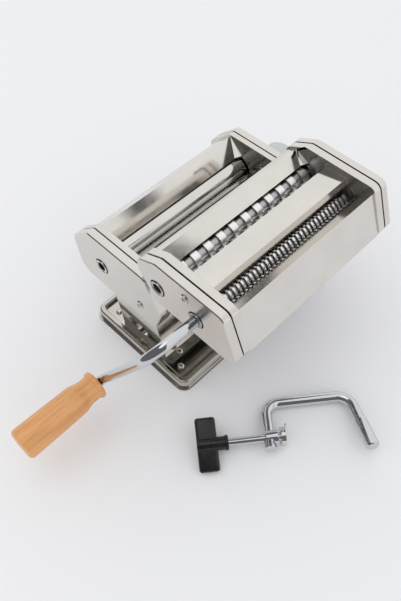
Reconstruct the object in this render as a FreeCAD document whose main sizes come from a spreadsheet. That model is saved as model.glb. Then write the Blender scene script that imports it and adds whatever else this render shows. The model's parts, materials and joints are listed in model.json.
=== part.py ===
import FreeCAD, Part

# Hand-cranked pasta machine: a sheet roller on a pressed tray, a lift-off head
# with a wide and a narrow pair of cutters, a crank with a wooden grip, a knob
# that sets the roller gap, and the table clamp that lies in front.
# X runs along the rollers, the crank is on the -X side and the gap knob on +X.
# The cutter head is on the -Y side. The tray stands on Z = 0, and the origin
# is the centre of its footprint. Lengths are in millimetres.
import math
import os
import re

import Sketcher

SIZES = [
    # Tray, feet and rivets
    ("tray_depth", 123.4, "tray along Y"),
    ("tray_margin", 0.9, "stand's side flange to the edge of the recess"),
    ("tray_corner", 10, "corner radius of the tray's lip"),
    ("lip_width", 2, "flat lip round the tray"),
    ("lip_height", 1.6, "height of the lip's top"),
    ("tray_height", 12, "top of the tray's ridge"),
    ("ridge_width", 5.4, "width of the ridge, lip not counted"),
    ("ridge_corner", 5, "chamfer across the corners of the ridge"),
    ("ridge_edge", 1.6, "chamfer on both sides of the ridge"),
    ("recess_floor", 8, "height of the tray's floor"),
    ("recess_corner", 6, "chamfer across the corners of the recess"),
    ("tray_wall", 0.9, "sheet of the tray"),
    ("foot_side", 14, "side of a square rubber foot"),
    ("foot_inset_x", 7.9, "edge of the recess to a foot's centre, along X"),
    ("foot_inset_y", 12.3, "edge of the recess to a foot's centre, along Y"),
    ("rivet_radius", 3.2, "rivet head"),
    ("rivet_rise", 1.6, "height of a rivet head"),
    ("rivet_inset", 12.8, "stand's side to the rivets of its front flange"),
    # Stand
    ("stand_past", 0.8, "stand's side past the side frames"),
    ("stand_wall", 1.2, "sheet of the stand"),
    ("stand_front_low", -26.7, "front edge at the tray"),
    ("stand_front_high", -18, "front edge at its upper bend"),
    ("stand_bend_drop", 12, "stand's top to that bend"),
    ("stand_rear_low", 31, "rear edge at the tray"),
    ("stand_rear_high", 38, "rear edge at the top"),
    ("stand_side_flange", 3.6, "flange of the sides on the tray"),
    ("stand_front_flange", 7.4, "flange of the front on the tray"),
    ("stand_top_flange", 10, "flange under each side frame"),
    ("clamp_hole_radius", 7.5, "hole for the end of the clamp"),
    ("clamp_hole_y", 4.5, "place of the clamp hole"),
    ("clamp_hole_rise", 13.6, "tray's floor to the clamp hole"),
    ("clamp_collar", 3, "drawn collar inside the hole"),
    # Side frames and covers of the sheet roller, with heights from the rollers' axes
    ("roll_width", 150, "between the side frames' webs"),
    ("web_wall", 1.2, "sheet of frames and covers"),
    ("sheeter_flange", 5.6, "depth of the sheeter's frames"),
    ("sheeter_seam", 1, "open seam between frame and cover"),
    ("sheeter_cover", 7.4, "depth of the sheeter's covers"),
    ("cover_edge", 0.8, "chamfer round a cover's face"),
    ("cheek_base_rise", -28.3, "underside of the side frames"),
    ("cheek_top_rise", 31.4, "top of the side frames"),
    ("cheek_rear_top", 47, "rear corner at the top"),
    ("cheek_rear", 70, "rearmost corner"),
    ("cheek_rear_rise", 11.7, "height of the rearmost corner"),
    ("cheek_rear_low", 66, "rear corner at the base"),
    ("cheek_front_low", -27, "front corner at the base"),
    ("cheek_nose", -36.5, "foremost corner"),
    ("cheek_nose_rise", -2.3, "height of the foremost corner"),
    ("cheek_front_top", -20, "front corner at the top"),
    ("cheek_round_top", 6, "top corners"),
    ("cheek_round_rear", 10, "rearmost corner"),
    ("cheek_round_low", 14, "rear corner at the base"),
    ("cheek_cut_front", 2, "chamfer at the front corner of the base and at the nose"),
    # Smooth rollers, shafts and gears
    ("roller_radius", 13, "smooth rollers"),
    ("roller_height", 94.3, "axes of the smooth rollers"),
    ("rear_axis", 34.6, "axis of the driven smooth roller"),
    ("roller_gap", 2.5, "gap at the widest setting"),
    ("gap_travel", 2.2, "how far the gap closes"),
    ("roller_end_gap", 1.5, "roller end to web"),
    ("drive_wall", 1.68, "driven shaft round the crank's socket"),
    ("journal_radius", 4.5, "other shaft ends"),
    ("shaft_clearance", 0.05, "radial play of every shaft"),
    ("seat_gap", 0.05, "play of pieces that are fixed together"),
    ("gear_offset", 2, "web to gear"),
    ("gear_width", 6, "gear along X"),
    ("gear_teeth", 14, "teeth of every gear"),
    ("tooth_share", 0.42, "tooth as a share of the pitch"),
    ("roller_addendum", 1.8, "tooth above the pitch circle"),
    ("roller_dedendum", 2.3, "tooth below the pitch circle"),
    ("cutter_addendum", 1.2, "tooth above the pitch circle"),
    ("cutter_dedendum", 1.4, "tooth below the pitch circle"),
    ("bush_wall", 1.4, "least wall of a bearing bush"),
    ("bush_proud", 0.8, "bush past each side of the web"),
    ("socket_depth", 9, "round part of the crank's socket"),
    ("tongue_depth", 6, "slot below the round part"),
    ("tongue_width", 3, "flat tongue on the crank's end"),
    ("tongue_play", 0.15, "tongue to slot, each side"),
    ("ring_wall", 1.4, "drive ring round the shaft"),
    ("ring_proud", 1, "drive ring past the cover"),
    # Gap regulator
    ("block_half", 6.9, "half side of a bearing block's hub"),
    ("block_plate", 1.5, "flange of a bearing block"),
    ("block_margin", 3, "flange past the hub"),
    ("block_play", 0.15, "block to web, each side"),
    ("boss_depth", 5.2, "slotted boss of the far block"),
    ("boss_half_y", 5.6, "half width of the boss"),
    ("boss_half_z", 7, "half height of the boss"),
    ("pin_radius", 2, "eccentric pin"),
    ("pin_throw", 1.1, "pin axis from spindle axis"),
    ("pin_play", 0.35, "pin to slot"),
    ("spindle_radius", 4, "knob spindle"),
    ("spindle_flange", 6, "flange that carries the pin"),
    ("spindle_flange_width", 2, "flange along X"),
    ("spindle_length", 16, "spindle past the cover's face"),
    ("index_radius", 15.4, "index plate"),
    ("index_wall", 1.3, "index plate along X"),
    ("knob_radius", 23, "regulator knob"),
    ("knob_gap", 0.3, "index plate to knob"),
    ("knob_length", 22, "knob along X"),
    ("knob_edge", 5, "chamfer round the knob's front"),
    ("knob_floor", 3, "front wall of the knob"),
    ("spring_radius", 7, "spring behind the knob's hub"),
    ("spring_wall", 1.4, "wire of that spring"),
    ("spring_length", 8, "spring at rest"),
    # Hopper and inner plates of the sheet roller, with heights from the rollers' axes
    ("panel_wall", 0.8, "folded plates"),
    ("panel_inset", 1.8, "plates inside the cheek outline"),
    ("hopper_rear_y", 33, "rear plate's lower edge"),
    ("hopper_rear_gap", 1.7, "rear roller's top to that edge"),
    ("hopper_fold_y", 45.5, "rear plate's top fold"),
    ("hopper_fold_rise", 29.4, "height of that fold"),
    ("hopper_back_y", 58, "where the rear plate turns down"),
    ("hopper_back_rise", 19.2, "height of that fold"),
    ("hopper_front_y", 8.5, "front plate's lower edge"),
    ("hopper_front_gap", 2.2, "front roller's top to that edge"),
    ("front_ridge_y", -16, "front plate's top fold"),
    ("front_ridge_rise", 29.7, "height of that fold"),
    ("wing_reach", 7, "end wings along X"),
    ("wing_shift", 3, "end wings past the plate's lower edge"),
    ("scraper_gap", 0.3, "scraper to roller"),
    ("scraper_length", 10, "depth of a scraper"),
    ("rod_radius", 3.5, "hexagonal tie rods, across corners"),
    ("rod_gap", 1.4, "rear tie rod to roller"),
    ("rod_rise", 1.7, "height of the tie rods"),
    ("front_rod_y", -25.5, "front tie rod"),
    ("nut_radius", 4.6, "nuts, across corners"),
    ("nut_height", 2, "nuts along X"),
    ("screw_head", 4, "cover screw head"),
    ("screw_rise", 1.1, "height of that head"),
    ("screw_gap", 0.46, "cover screw to index plate or gear"),
    ("screw_angle", 32.3, "cover screw below the front roller's axis, degrees"),
    # Cutter head, with heights from the cutters' axes
    ("head_rise", 39.2, "cutters' axes above the smooth rollers'"),
    ("cutter_flange", 6.9, "depth of the head's frames"),
    ("cutter_seam", 1.2, "open seam between frame and cover"),
    ("cutter_cover", 6.9, "depth of the head's covers"),
    ("head_rear_top_y", -38, "top rear corner"),
    ("head_rear_top_rise", 27, "height of the top rear corner"),
    ("head_shoulder_y", -18.5, "rear shoulder"),
    ("head_shoulder_rise", 17.5, "height of the rear shoulder"),
    ("head_back_y", -17, "rearmost corner"),
    ("head_back_rise", 8.5, "height of the rearmost corner"),
    ("head_heel_y", -34, "lower rear corner"),
    ("head_heel_rise", -19.5, "height of the lower rear corner"),
    ("head_toe_y", -106, "lower front corner"),
    ("head_toe_rise", -21, "height of the lower front corner"),
    ("head_chin_y", -118.5, "foremost corner"),
    ("head_chin_rise", -14, "height of the foremost corner"),
    ("head_brow_y", -103.5, "top front corner"),
    ("head_brow_rise", 26, "height of the top front corner"),
    ("head_round_top", 8, "top corners"),
    ("head_round_low", 5.5, "lower front corners"),
    ("head_cut_low", 2.4, "chamfer at the rear corners"),
    ("wide_rear_axis", -38.5, "driven wide cutter"),
    ("wide_distance", 17.5, "between the wide cutters"),
    ("wide_pitch", 13.5, "ridge to ridge"),
    ("wide_ridge", 6.6, "ridge along X"),
    ("pair_distance", 22, "front wide cutter to driven narrow cutter"),
    ("narrow_distance", 16.5, "between the narrow cutters"),
    ("narrow_pitch", 4.34, "ridge to ridge"),
    ("narrow_ridge", 2.05, "ridge along X"),
    ("cutter_mesh", 1.5, "depth to which the ridges of a pair overlap"),
    ("core_gap", 0.35, "ridge to the partner's core"),
    ("cutter_end_gap", 3, "first ridge to web"),
    ("comb_gap", 0.35, "comb finger to cutter"),
    ("comb_wall", 1, "sheet of the combs"),
    ("comb_bar", 2.4, "height of a comb's bar"),
    ("rear_plate_low_y", -38.5, "rear plate's lower edge"),
    ("rear_plate_low_rise", 11.8, "height of that edge"),
    ("rear_plate_fold_y", -27, "rear plate's top fold"),
    ("rear_plate_fold_rise", 19.5, "height of that fold"),
    ("mid_plate_rear_y", -57, "middle plate's rear edge"),
    ("mid_plate_rear_rise", 18.5, "height of that edge"),
    ("mid_plate_bend_y", -78, "middle plate's bend"),
    ("mid_plate_bend_rise", 20.5, "height of that bend"),
    ("mid_plate_front_y", -82, "middle plate's front edge"),
    ("mid_plate_front_rise", 10.5, "height of that edge"),
    ("front_panel_rear_y", -91.5, "front panel's inner edge"),
    ("front_panel_rear_rise", 11.5, "height of that edge"),
    ("front_panel_fold_y", -103.3, "front panel's top fold"),
    ("front_panel_fold_rise", 21.3, "height of that fold"),
    ("front_panel_foot_y", -117.2, "front panel's lower fold"),
    ("front_panel_foot_rise", -14.2, "height of that fold"),
    ("front_panel_return", 6, "flange under the front panel"),
    ("head_rod_radius", 3.2, "tie rods of the head"),
    ("head_rod_rise", -14.3, "height of the head's tie rods"),
    ("head_rear_rod_y", -39.3, "rear tie rod of the head"),
    ("head_mid_rod_y", -67, "middle tie rod of the head"),
    ("head_front_rod_y", -104.5, "front tie rod of the head"),
    ("head_screw_y", -67, "cover screw of the head"),
    ("head_screw_rise", 14.5, "height of that screw"),
    ("hook_width", 8, "hook along X"),
    ("hook_inset", 13, "web to the hook's centre"),
    ("hook_wall", 1.2, "sheet of the hooks"),
    ("hook_gap", 0.35, "hook to the sheeter's front plate"),
    ("hook_foot", 5, "part of the hook that lies on the head's back"),
    ("hook_reach", 3, "hook past the front plate's top fold"),
    # Crank and grip
    ("crank_radius", 4.25, "crank rod"),
    ("crank_play", 0.07, "crank to socket"),
    ("crank_reach", 44, "head's cover to the first bend, along X"),
    ("crank_lean", 11.2, "first bend to second bend, along X"),
    ("crank_throw", 105.5, "grip axis from shaft axis"),
    ("crank_angle", 32.8, "crank from straight down, degrees"),
    ("crank_bend", 20, "radius of the first bend"),
    ("crank_bend_low", 7, "radius of the second bend"),
    ("grip_pin_radius", 3.2, "pin that the grip turns on"),
    ("grip_offset", 4.6, "second bend to the grip's inner end"),
    ("grip_length", 76, "wooden grip"),
    ("grip_bead", 12.6, "radius of the bead"),
    ("grip_neck", 10.7, "radius of the neck"),
    ("bead_width", 5, "bead along X"),
    ("neck_length", 13.7, "grip's inner end to the end of the neck"),
    ("neck_slope", 6.3, "slope from the neck to the shoulder"),
    ("grip_shoulder", 12.8, "radius at the shoulder"),
    ("grip_end_radius", 13.9, "radius at the outer end"),
    ("grip_round", 3.6, "chamfer round the outer end"),
    ("grip_mouth", 5.5, "radius of the grip's mouth, which clears the bend"),
    ("mouth_depth", 5, "depth of that mouth"),
    # Table clamp
    ("clamp_x", 4.1, "inner corner of the clamp"),
    ("clamp_y", -165.1, "inner corner of the clamp"),
    ("clamp_turn", 141.3, "clamp's back from X, degrees"),
    ("clamp_tilt", 9.2, "legs above the floor, degrees"),
    ("clamp_radius", 5, "clamp rod"),
    ("clamp_span", 72.8, "between the clamp's corners"),
    ("clamp_leg", 43.4, "leg with the screw"),
    ("clamp_leg_lean", 2.4, "that leg's lean outwards"),
    ("clamp_arm", 51, "leg that hooks into the stand"),
    ("clamp_arm_lean", 7, "that leg's lean outwards"),
    ("clamp_bend", 13, "radius of the clamp's bends"),
    ("sleeve_wall", 0.7, "wall of the sleeve on the hooking leg"),
    ("sleeve_length", 25, "length of the sleeve"),
    ("sleeve_cap", 0.8, "closed end of the sleeve"),
    ("eye_wall", 2.8, "eye round the screw"),
    ("eye_width", 11, "eye along the screw"),
    ("clamp_screw_radius", 3.4, "clamp screw"),
    ("clamp_screw_back", 10.5, "screw axis from the leg's end"),
    ("screw_out", 36, "leg to the knob's hub"),
    ("pad_offset", 7.4, "leg axis to the pad"),
    ("pad_radius", 7.5, "pressure pad"),
    ("pad_wall", 4, "pressure pad along the screw"),
    ("pad_play", 0.3, "screw tip in the pad"),
    ("tail_length", 12, "spring tail of the pad"),
    ("tail_radius", 0.8, "wire of that tail"),
    ("wing_span", 44, "wing knob, tip to tip"),
    ("wing_width", 17, "wing knob along the screw"),
    ("wing_wall", 7, "wing knob's thickness"),
    ("wing_roll", 27, "wings from the clamp's plane, degrees"),
    ("hub_radius", 6.4, "hub of the wing knob"),
    ("hub_length", 9, "hub past the wings"),
]

# Places worked out from the sizes, each from those above it
PLACES = [
    ("web_in", "roll_width / 2"),
    ("web_out", "web_in + web_wall"),
    ("frame_rim", "web_in + sheeter_flange"),
    ("cover_rim", "frame_rim + sheeter_seam"),
    ("cover_face", "cover_rim + sheeter_cover"),
    ("head_frame_rim", "web_in + cutter_flange"),
    ("head_cover_rim", "head_frame_rim + cutter_seam"),
    ("head_face", "head_cover_rim + cutter_cover"),
    ("stand_side", "frame_rim + stand_past"),
    ("floor_side", "stand_side + stand_side_flange + tray_margin"),
    ("tray_side", "floor_side + ridge_width + lip_width"),
    ("floor_end", "tray_depth / 2 - lip_width - ridge_width"),
    ("foot_x", "floor_side - foot_inset_x"),
    ("foot_y", "floor_end - foot_inset_y"),
    ("cutter_height", "roller_height + head_rise"),
    ("barrel_end", "web_in - roller_end_gap"),
    ("gear_in", "web_out + gear_offset"),
    ("gear_out", "gear_in + gear_width"),
    ("front_axis", "rear_axis - 2 * roller_radius - roller_gap"),
    ("roller_pitch", "roller_radius + (roller_gap - gap_travel) / 2"),
    ("socket_radius", "crank_radius + crank_play"),
    ("drive_radius", "socket_radius + drive_wall"),
    ("drive_bush", "drive_radius + bush_wall"),
    ("journal_bush", "journal_radius + bush_wall"),
    ("ring_radius", "drive_radius + ring_wall"),
    ("block_face", "web_out + block_play"),
    ("block_out", "block_face + block_plate"),
    ("boss_out", "block_out + boss_depth"),
    ("pin_axis", "front_axis - pin_throw"),
    ("knob_back", "cover_face + index_wall + knob_gap"),
    ("knob_front", "knob_back + knob_length"),
    ("spindle_end", "cover_face + spindle_length"),
    ("rear_rod_y", "rear_axis + roller_radius + rod_gap + rod_radius"),
    ("gear_reach", "roller_pitch + roller_addendum + rod_radius"),
    ("screw_reach", "max(gear_reach; index_radius + screw_head) + screw_gap"),
    ("cover_screw_y", "front_axis - screw_reach * cos(screw_angle)"),
    ("cover_screw_z", "roller_height - screw_reach * sin(screw_angle)"),
    ("wide_front_axis", "wide_rear_axis - wide_distance"),
    ("narrow_rear_axis", "wide_front_axis - pair_distance"),
    ("narrow_front_axis", "narrow_rear_axis - narrow_distance"),
    ("wide_radius", "(wide_distance + cutter_mesh) / 2"),
    ("wide_core", "(wide_distance - cutter_mesh) / 2 - core_gap"),
    ("narrow_radius", "(narrow_distance + cutter_mesh) / 2"),
    ("narrow_core", "(narrow_distance - cutter_mesh) / 2 - core_gap"),
    ("hopper_rear_z", "roller_height + roller_radius + hopper_rear_gap"),
    ("hopper_front_z", "roller_height + roller_radius + hopper_front_gap"),
    ("crank_start", "head_face + ring_proud / 2 - socket_depth + tongue_play"),
    ("crank_knee", "head_face + crank_reach"),
    ("crank_heel", "crank_knee + crank_lean"),
    ("crank_turn", "atan(crank_throw / crank_lean) / 1 deg"),
    ("grip_start", "crank_heel + grip_offset"),
    ("grip_end", "grip_start + grip_length"),
    ("grip_axis_y", "narrow_rear_axis + crank_throw * sin(crank_angle)"),
    ("grip_axis_z", "cutter_height - crank_throw * cos(crank_angle)"),
    ("leg_turn", "atan(clamp_leg / clamp_leg_lean) / 1 deg"),
    ("arm_turn", "atan(clamp_arm / clamp_arm_lean) / 1 deg"),
    ("screw_axis_y", "clamp_leg - clamp_screw_back"),
    ("knob_hub", "clamp_span + screw_out"),
    ("wing_start", "knob_hub + hub_length"),
    ("pad_face", "clamp_span - pad_offset - pad_wall"),
]
# Points whose height is set from the axes of the smooth rollers or of the cutters
HEIGHTS = {
    "roller_height": ("cheek_base", "cheek_top", "cheek_rear", "cheek_nose", "hopper_fold",
                      "hopper_back", "front_ridge", "rod"),
    "cutter_height": ("head_rear_top", "head_shoulder", "head_back", "head_heel", "head_toe",
                      "head_chin", "head_brow", "rear_plate_low", "rear_plate_fold",
                      "mid_plate_rear", "mid_plate_bend", "mid_plate_front", "front_panel_rear",
                      "front_panel_fold", "front_panel_foot", "head_rod", "head_screw"),
}
PLACES += [(point + "_z", f"{axis} + {point}_rise")
           for axis, points in HEIGHTS.items() for point in points]

Vector = FreeCAD.Vector
SIDES = {"left": -1, "right": 1}
ALL_ROUND = 360
# Sides of the polygons that stand for round pieces: rivet and screw heads, rods and bores,
# and the two large turned pieces that a hand holds
SMALL_ROUND = 8
ROUND = 12
LARGE_ROUND = 24
# Straight pieces in each bend of a rod
BEND_STEPS = 4
PRESSURE_ANGLE = 20
# Outlines of the cheeks: each corner with its rounding, or its chamfer for a small one
CHEEK = [
    ("cheek_rear_top", "cheek_top_z", "cheek_round_top"),
    ("cheek_rear", "cheek_rear_z", "cheek_round_rear"),
    ("cheek_rear_low", "cheek_base_z", "cheek_round_low"),
    ("cheek_front_low", "cheek_base_z", "cheek_cut_front"),
    ("cheek_nose", "cheek_nose_z", "cheek_cut_front"),
    ("cheek_front_top", "cheek_top_z", "cheek_round_top"),
]
HEAD = [
    ("head_rear_top_y", "head_rear_top_z", "head_round_top"),
    ("head_shoulder_y", "head_shoulder_z", "head_cut_low"),
    ("head_back_y", "head_back_z", "head_cut_low"),
    ("head_heel_y", "head_heel_z", "head_cut_low"),
    ("head_toe_y", "head_toe_z", "head_round_low"),
    ("head_chin_y", "head_chin_z", "head_round_low"),
    ("head_brow_y", "head_brow_z", "head_round_top"),
]
SIZE_NAMES = {name for name, _, _ in SIZES}
PLACE_NAMES = {name for name, _ in PLACES}

document = FreeCAD.newDocument("PastaMachine")
sizes = document.addObject("Spreadsheet::Sheet", "Sizes")
places = document.addObject("Spreadsheet::Sheet", "Places")
subparts = []


def bound(formula, place_sheet="Places."):
    """Put the sheet's name before every size and place in a formula."""
    def with_sheet(match):
        word = match.group(0)
        if word in SIZE_NAMES:
            return "Sizes." + word
        if word in PLACE_NAMES:
            return place_sheet + word
        return word
    return re.sub(r"[A-Za-z_]\w*", with_sheet, str(formula))


def value(formula):
    """Work out a formula of sizes and places."""
    return float(sizes.evalExpression(bound(formula)))


def fill_sheets():
    """Write the driving sizes and the places that follow from them."""
    for row, (name, amount, meaning) in enumerate(SIZES, start=1):
        sizes.set(f"A{row}", meaning)
        sizes.set(f"B{row}", str(amount))
        sizes.setAlias(f"B{row}", name)
    document.recompute()
    for row, (name, formula) in enumerate(PLACES, start=1):
        places.set(f"B{row}", "=" + bound(formula, place_sheet=""))
        places.setAlias(f"B{row}", name)
    document.recompute()


def listed(piece, label):
    """Give a sub-part its label and note it for export."""
    piece.Label = label
    subparts.append(piece)
    return piece


def title(label):
    """Turn a label into an object name."""
    return "".join(word.capitalize() for word in label.split("_"))


def new_body(label):
    """Start the body of one sub-part."""
    return listed(document.addObject("PartDesign::Body", title(label)), label)


def origin_part(body, role):
    """Find a plane or an axis of a body's own origin."""
    return next(part for part in body.Origin.OriginFeatures if part.Role == role)


def sketch(body, plane, level=0):
    """Attach a sketch to a plane of the body's origin, at a level along its normal."""
    drawing = body.newObject("Sketcher::SketchObject", body.Name + "Sketch")
    drawing.AttachmentSupport = [(origin_part(body, plane + "_Plane"), "")]
    drawing.MapMode = "FlatFace"
    drawing.setExpression(".AttachmentOffset.Base.z", bound(level))
    return drawing


def pin_points(drawing, points):
    """Bind points of a sketch to the formulas of their places."""
    rules = []
    formulas = []
    for geometry, point, u, v in points:
        rules.append(Sketcher.Constraint("DistanceX", -1, 1, geometry, point, value(u)))
        rules.append(Sketcher.Constraint("DistanceY", -1, 1, geometry, point, value(v)))
        formulas += [u, v]
    first = drawing.ConstraintCount
    drawing.addConstraint(rules)
    for number, formula in enumerate(formulas, start=first):
        drawing.setExpression(f"Constraints[{number}]", bound(formula))


def corners(outline):
    """A closed outline of straight edges, as a drawing function."""
    def draw(drawing):
        spots = [Vector(value(u), value(v), 0) for u, v in outline]
        count = len(spots)
        first = drawing.GeometryCount
        lines = [Part.LineSegment(spots[k], spots[(k + 1) % count]) for k in range(count)]
        drawing.addGeometry(lines, False)
        joins = [Sketcher.Constraint("Coincident", first + k, 2, first + (k + 1) % count, 1)
                 for k in range(count)]
        drawing.addConstraint(joins)
        pin_points(drawing, [(first + k, 1, u, v) for k, (u, v) in enumerate(outline)])
    return draw


def disc(u, v, radius):
    """A circle, as a drawing function."""
    def draw(drawing):
        ring = Part.Circle(Vector(value(u), value(v), 0), Vector(0, 0, 1), value(radius))
        number = drawing.addGeometry(ring, False)
        pin_points(drawing, [(number, 3, u, v)])
        rule = drawing.addConstraint(Sketcher.Constraint("Radius", number, value(radius)))
        drawing.setExpression(f"Constraints[{rule}]", bound(radius))
    return draw


def box(low_u, high_u, low_v, high_v):
    """A rectangle, as a drawing function."""
    return corners([(low_u, low_v), (high_u, low_v), (high_u, high_v), (low_u, high_v)])


def on_circle(u, v, radius, angle):
    """A point on a circle, as a pair of formulas."""
    return f"{u} + ({radius}) * cos({angle})", f"{v} + ({radius}) * sin({angle})"


def regular(sides, u, v, radius, turn=0):
    """A regular polygon given by its corner radius, as a drawing function."""
    return corners([on_circle(u, v, radius, f"{turn} + {ALL_ROUND * k / sides}")
                    for k in range(sides)])


def fitting(u, v, radius):
    """A hole of flat sides round a shaft of a given radius, as a drawing function."""
    return regular(ROUND, u, v, f"({radius}) / cos({ALL_ROUND / 2 / ROUND})")


def chain(points):
    """An open line of straight pieces, as a drawing function."""
    def draw(drawing):
        spots = [Vector(value(u), value(v), 0) for u, v in points]
        drawing.addGeometry([Part.LineSegment(a, b) for a, b in zip(spots, spots[1:])], False)
        drawing.addConstraint([Sketcher.Constraint("Coincident", k, 2, k + 1, 1)
                               for k in range(len(points) - 2)])
        pin_points(drawing, [(k, 1, *point) for k, point in enumerate(points[:-1])]
                   + [(len(points) - 2, 2, *points[-1])])
    return draw


def drawn(body, plane, level, outlines):
    """Sketch several closed outlines at one level."""
    drawing = sketch(body, plane, level)
    for outline in outlines:
        outline(drawing)
    return drawing


def raised(body, plane, low, high, *outlines):
    """Add a prism between two levels of a plane's normal."""
    feature = body.newObject("PartDesign::Pad", body.Name + "Pad")
    feature.Profile = drawn(body, plane, low, outlines)
    feature.setExpression("Length", bound(f"({high}) - ({low})"))
    document.recompute()
    return feature


def cut(body, plane, low, high, *outlines):
    """Take a prism away between two levels of a plane's normal."""
    before = body.Shape.Volume
    feature = body.newObject("PartDesign::Pocket", body.Name + "Pocket")
    feature.Profile = drawn(body, plane, low, outlines)
    feature.Reversed = True
    feature.setExpression("Length", bound(f"({high}) - ({low})"))
    document.recompute()
    if body.Shape.Volume >= before:
        raise RuntimeError(f"a pocket of {body.Label} cuts nothing")
    return feature


def span(side, near, far):
    """Levels along X between two distances from the middle, on one side."""
    return (near, far) if side > 0 else (f"-({far})", f"-({near})")


def standing_edges(shape, plane, spots):
    """Names of the edges that stand on given corners of a prism."""
    first, second = {"YZ": ("y", "z"), "XY": ("x", "y")}[plane]
    names = []
    for number, edge in enumerate(shape.Edges, start=1):
        ends = [vertex.Point for vertex in edge.Vertexes]
        for u, v in spots:
            if len(ends) == 2 and all(math.dist((getattr(end, first), getattr(end, second)),
                                                (value(u), value(v))) < 1e-4 for end in ends):
                names.append(f"Edge{number}")
    return names


def level_edges(shape, axis, formula):
    """Names of the edges that lie at one level."""
    level = value(formula)
    return [f"Edge{number}" for number, edge in enumerate(shape.Edges, start=1)
            if abs(getattr(edge.BoundBox, axis + "Min") - level) < 1e-4
            and abs(getattr(edge.BoundBox, axis + "Max") - level) < 1e-4]


def level_faces(shape, axis, formula):
    """Names of the flat faces that lie at one level."""
    level = value(formula)
    return [f"Face{number}" for number, face in enumerate(shape.Faces, start=1)
            if abs(getattr(face.BoundBox, axis + "Min") - level) < 1e-4
            and abs(getattr(face.BoundBox, axis + "Max") - level) < 1e-4]


def rounded(body, base, plane, spots, radius):
    """Round the standing edges on given corners."""
    feature = body.newObject("PartDesign::Fillet", body.Name + "Fillet")
    feature.Base = (base, standing_edges(base.Shape, plane, spots))
    feature.setExpression("Radius", bound(radius))
    document.recompute()
    return feature


def bevelled(body, base, names, width):
    """Chamfer named edges."""
    feature = body.newObject("PartDesign::Chamfer", body.Name + "Chamfer")
    feature.Base = (base, names)
    feature.setExpression("Size", bound(width))
    document.recompute()
    return feature


def hollowed(body, base, names, wall):
    """Hollow a solid to one wall and leave the named faces open."""
    feature = body.newObject("PartDesign::Thickness", body.Name + "Shell")
    feature.Base = (base, names)
    feature.Reversed = True
    feature.Join = 1
    feature.setExpression("Value", bound(wall))
    document.recompute()
    return feature


def repeated(body, feature, pitch, count):
    """Repeat a feature along X."""
    pattern = body.newObject("PartDesign::LinearPattern", body.Name + "Pattern")
    pattern.Originals = [feature]
    pattern.Direction = (origin_part(body, "X_Axis"), [""])
    pattern.setExpression("Length", bound(f"({pitch}) * ({count} - 1)"))
    pattern.setExpression("Occurrences", bound(count))
    body.Tip = pattern
    document.recompute()
    return pattern


def turned(body, outline):
    """Turn an outline of places and radii round the X axis."""
    feature = body.newObject("PartDesign::Revolution", body.Name + "Turned")
    feature.Profile = drawn(body, "XY", 0, [corners(outline)])
    feature.ReferenceAxis = (feature.Profile[0], ["H_Axis"])
    feature.Angle = ALL_ROUND
    document.recompute()
    return feature


def placed(body, x=0, y=0, z=0, turn=0, roll=0):
    """Put a body at its place, turned about Z and rolled about its own X."""
    spot = bound(f"create(<<vector>>; {x}; {y}; {z})")
    angles = bound(f"create(<<rotation>>; {turn}; 0; {roll})")
    body.setExpression("Placement", f"create(<<placement>>; {spot}; {angles})")
    document.recompute()


def bend(u, v, radius, first, turn):
    """Corners of the straight pieces that follow a bend round a centre, from a first angle."""
    step = f"({turn}) / {BEND_STEPS}"
    reach = f"({radius}) / cos({step} / 2)"
    return [on_circle(u, v, reach, f"{first} + {step} * {k + 0.5}") for k in range(BEND_STEPS)]


def bent_rod(body, plane, points, radius):
    """Sweep a twelve-sided rod along a line of straight pieces, mitred where they meet."""
    path = sketch(body, plane)
    chain(points)(path)
    document.recompute()
    section = body.newObject("Sketcher::SketchObject", body.Name + "Section")
    section.AttachmentSupport = [(path, "Edge1")]
    section.MapMode = "NormalToEdge"
    regular(ROUND, 0, 0, radius)(section)
    sweep = body.newObject("PartDesign::AdditivePipe", body.Name + "Sweep")
    sweep.Profile = section
    sweep.Spine = (path, [])
    sweep.Transition = "Right corner"
    document.recompute()
    return sweep


def lathed(label, outline):
    """Turn an outline of places and radii along X into one solid of flat facets."""
    spots = [(value(x), value(radius)) for x, radius in outline]
    angles = [2 * math.pi * k / LARGE_ROUND for k in range(LARGE_ROUND + 1)]
    rings = [[Vector(x, radius * math.cos(angle), radius * math.sin(angle)) for angle in angles]
             for x, radius in spots]
    faces = []
    for ring, beside in zip(rings, rings[1:] + rings[:1]):
        for k in range(LARGE_ROUND):
            facet = [ring[k], ring[k + 1], beside[k + 1], beside[k]]
            facet = [spot for spot, other in zip(facet, facet[1:] + facet[:1])
                     if not spot.isEqual(other, 1e-6)]
            if len(facet) > 2:
                faces.append(Part.Face(Part.makePolygon(facet + facet[:1])))
    piece = document.addObject("Part::Feature", title(label))
    piece.Shape = Part.makeSolid(Part.makeShell(faces)).removeSplitter()
    return listed(piece, label)


def folded(label, line, wall, near="-web_in", far="web_in"):
    """Fold a plate: an open line of the YZ plane, thickened to its right and drawn along X."""
    name = title(label)
    drawing = document.addObject("Sketcher::SketchObject", name + "Line")
    drawing.Placement = FreeCAD.Placement(Vector(), FreeCAD.Rotation(
        Vector(0, 1, 0), Vector(0, 0, 1), Vector(1, 0, 0), "XYZ"))
    drawing.setExpression(".Placement.Base.x", bound(near))
    chain(line)(drawing)
    strip = document.addObject("Part::Offset2D", name + "Strip")
    strip.Source = drawing
    strip.Mode = "Skin"
    strip.Join = "Intersection"
    strip.Fill = True
    strip.setExpression("Value", bound(wall))
    plate = document.addObject("Part::Extrusion", name)
    plate.Base = strip
    plate.DirMode = "Custom"
    plate.Dir = Vector(1, 0, 0)
    plate.Solid = True
    plate.setExpression("LengthFwd", bound(f"({far}) - ({near})"))
    document.recompute()
    return plate


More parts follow.
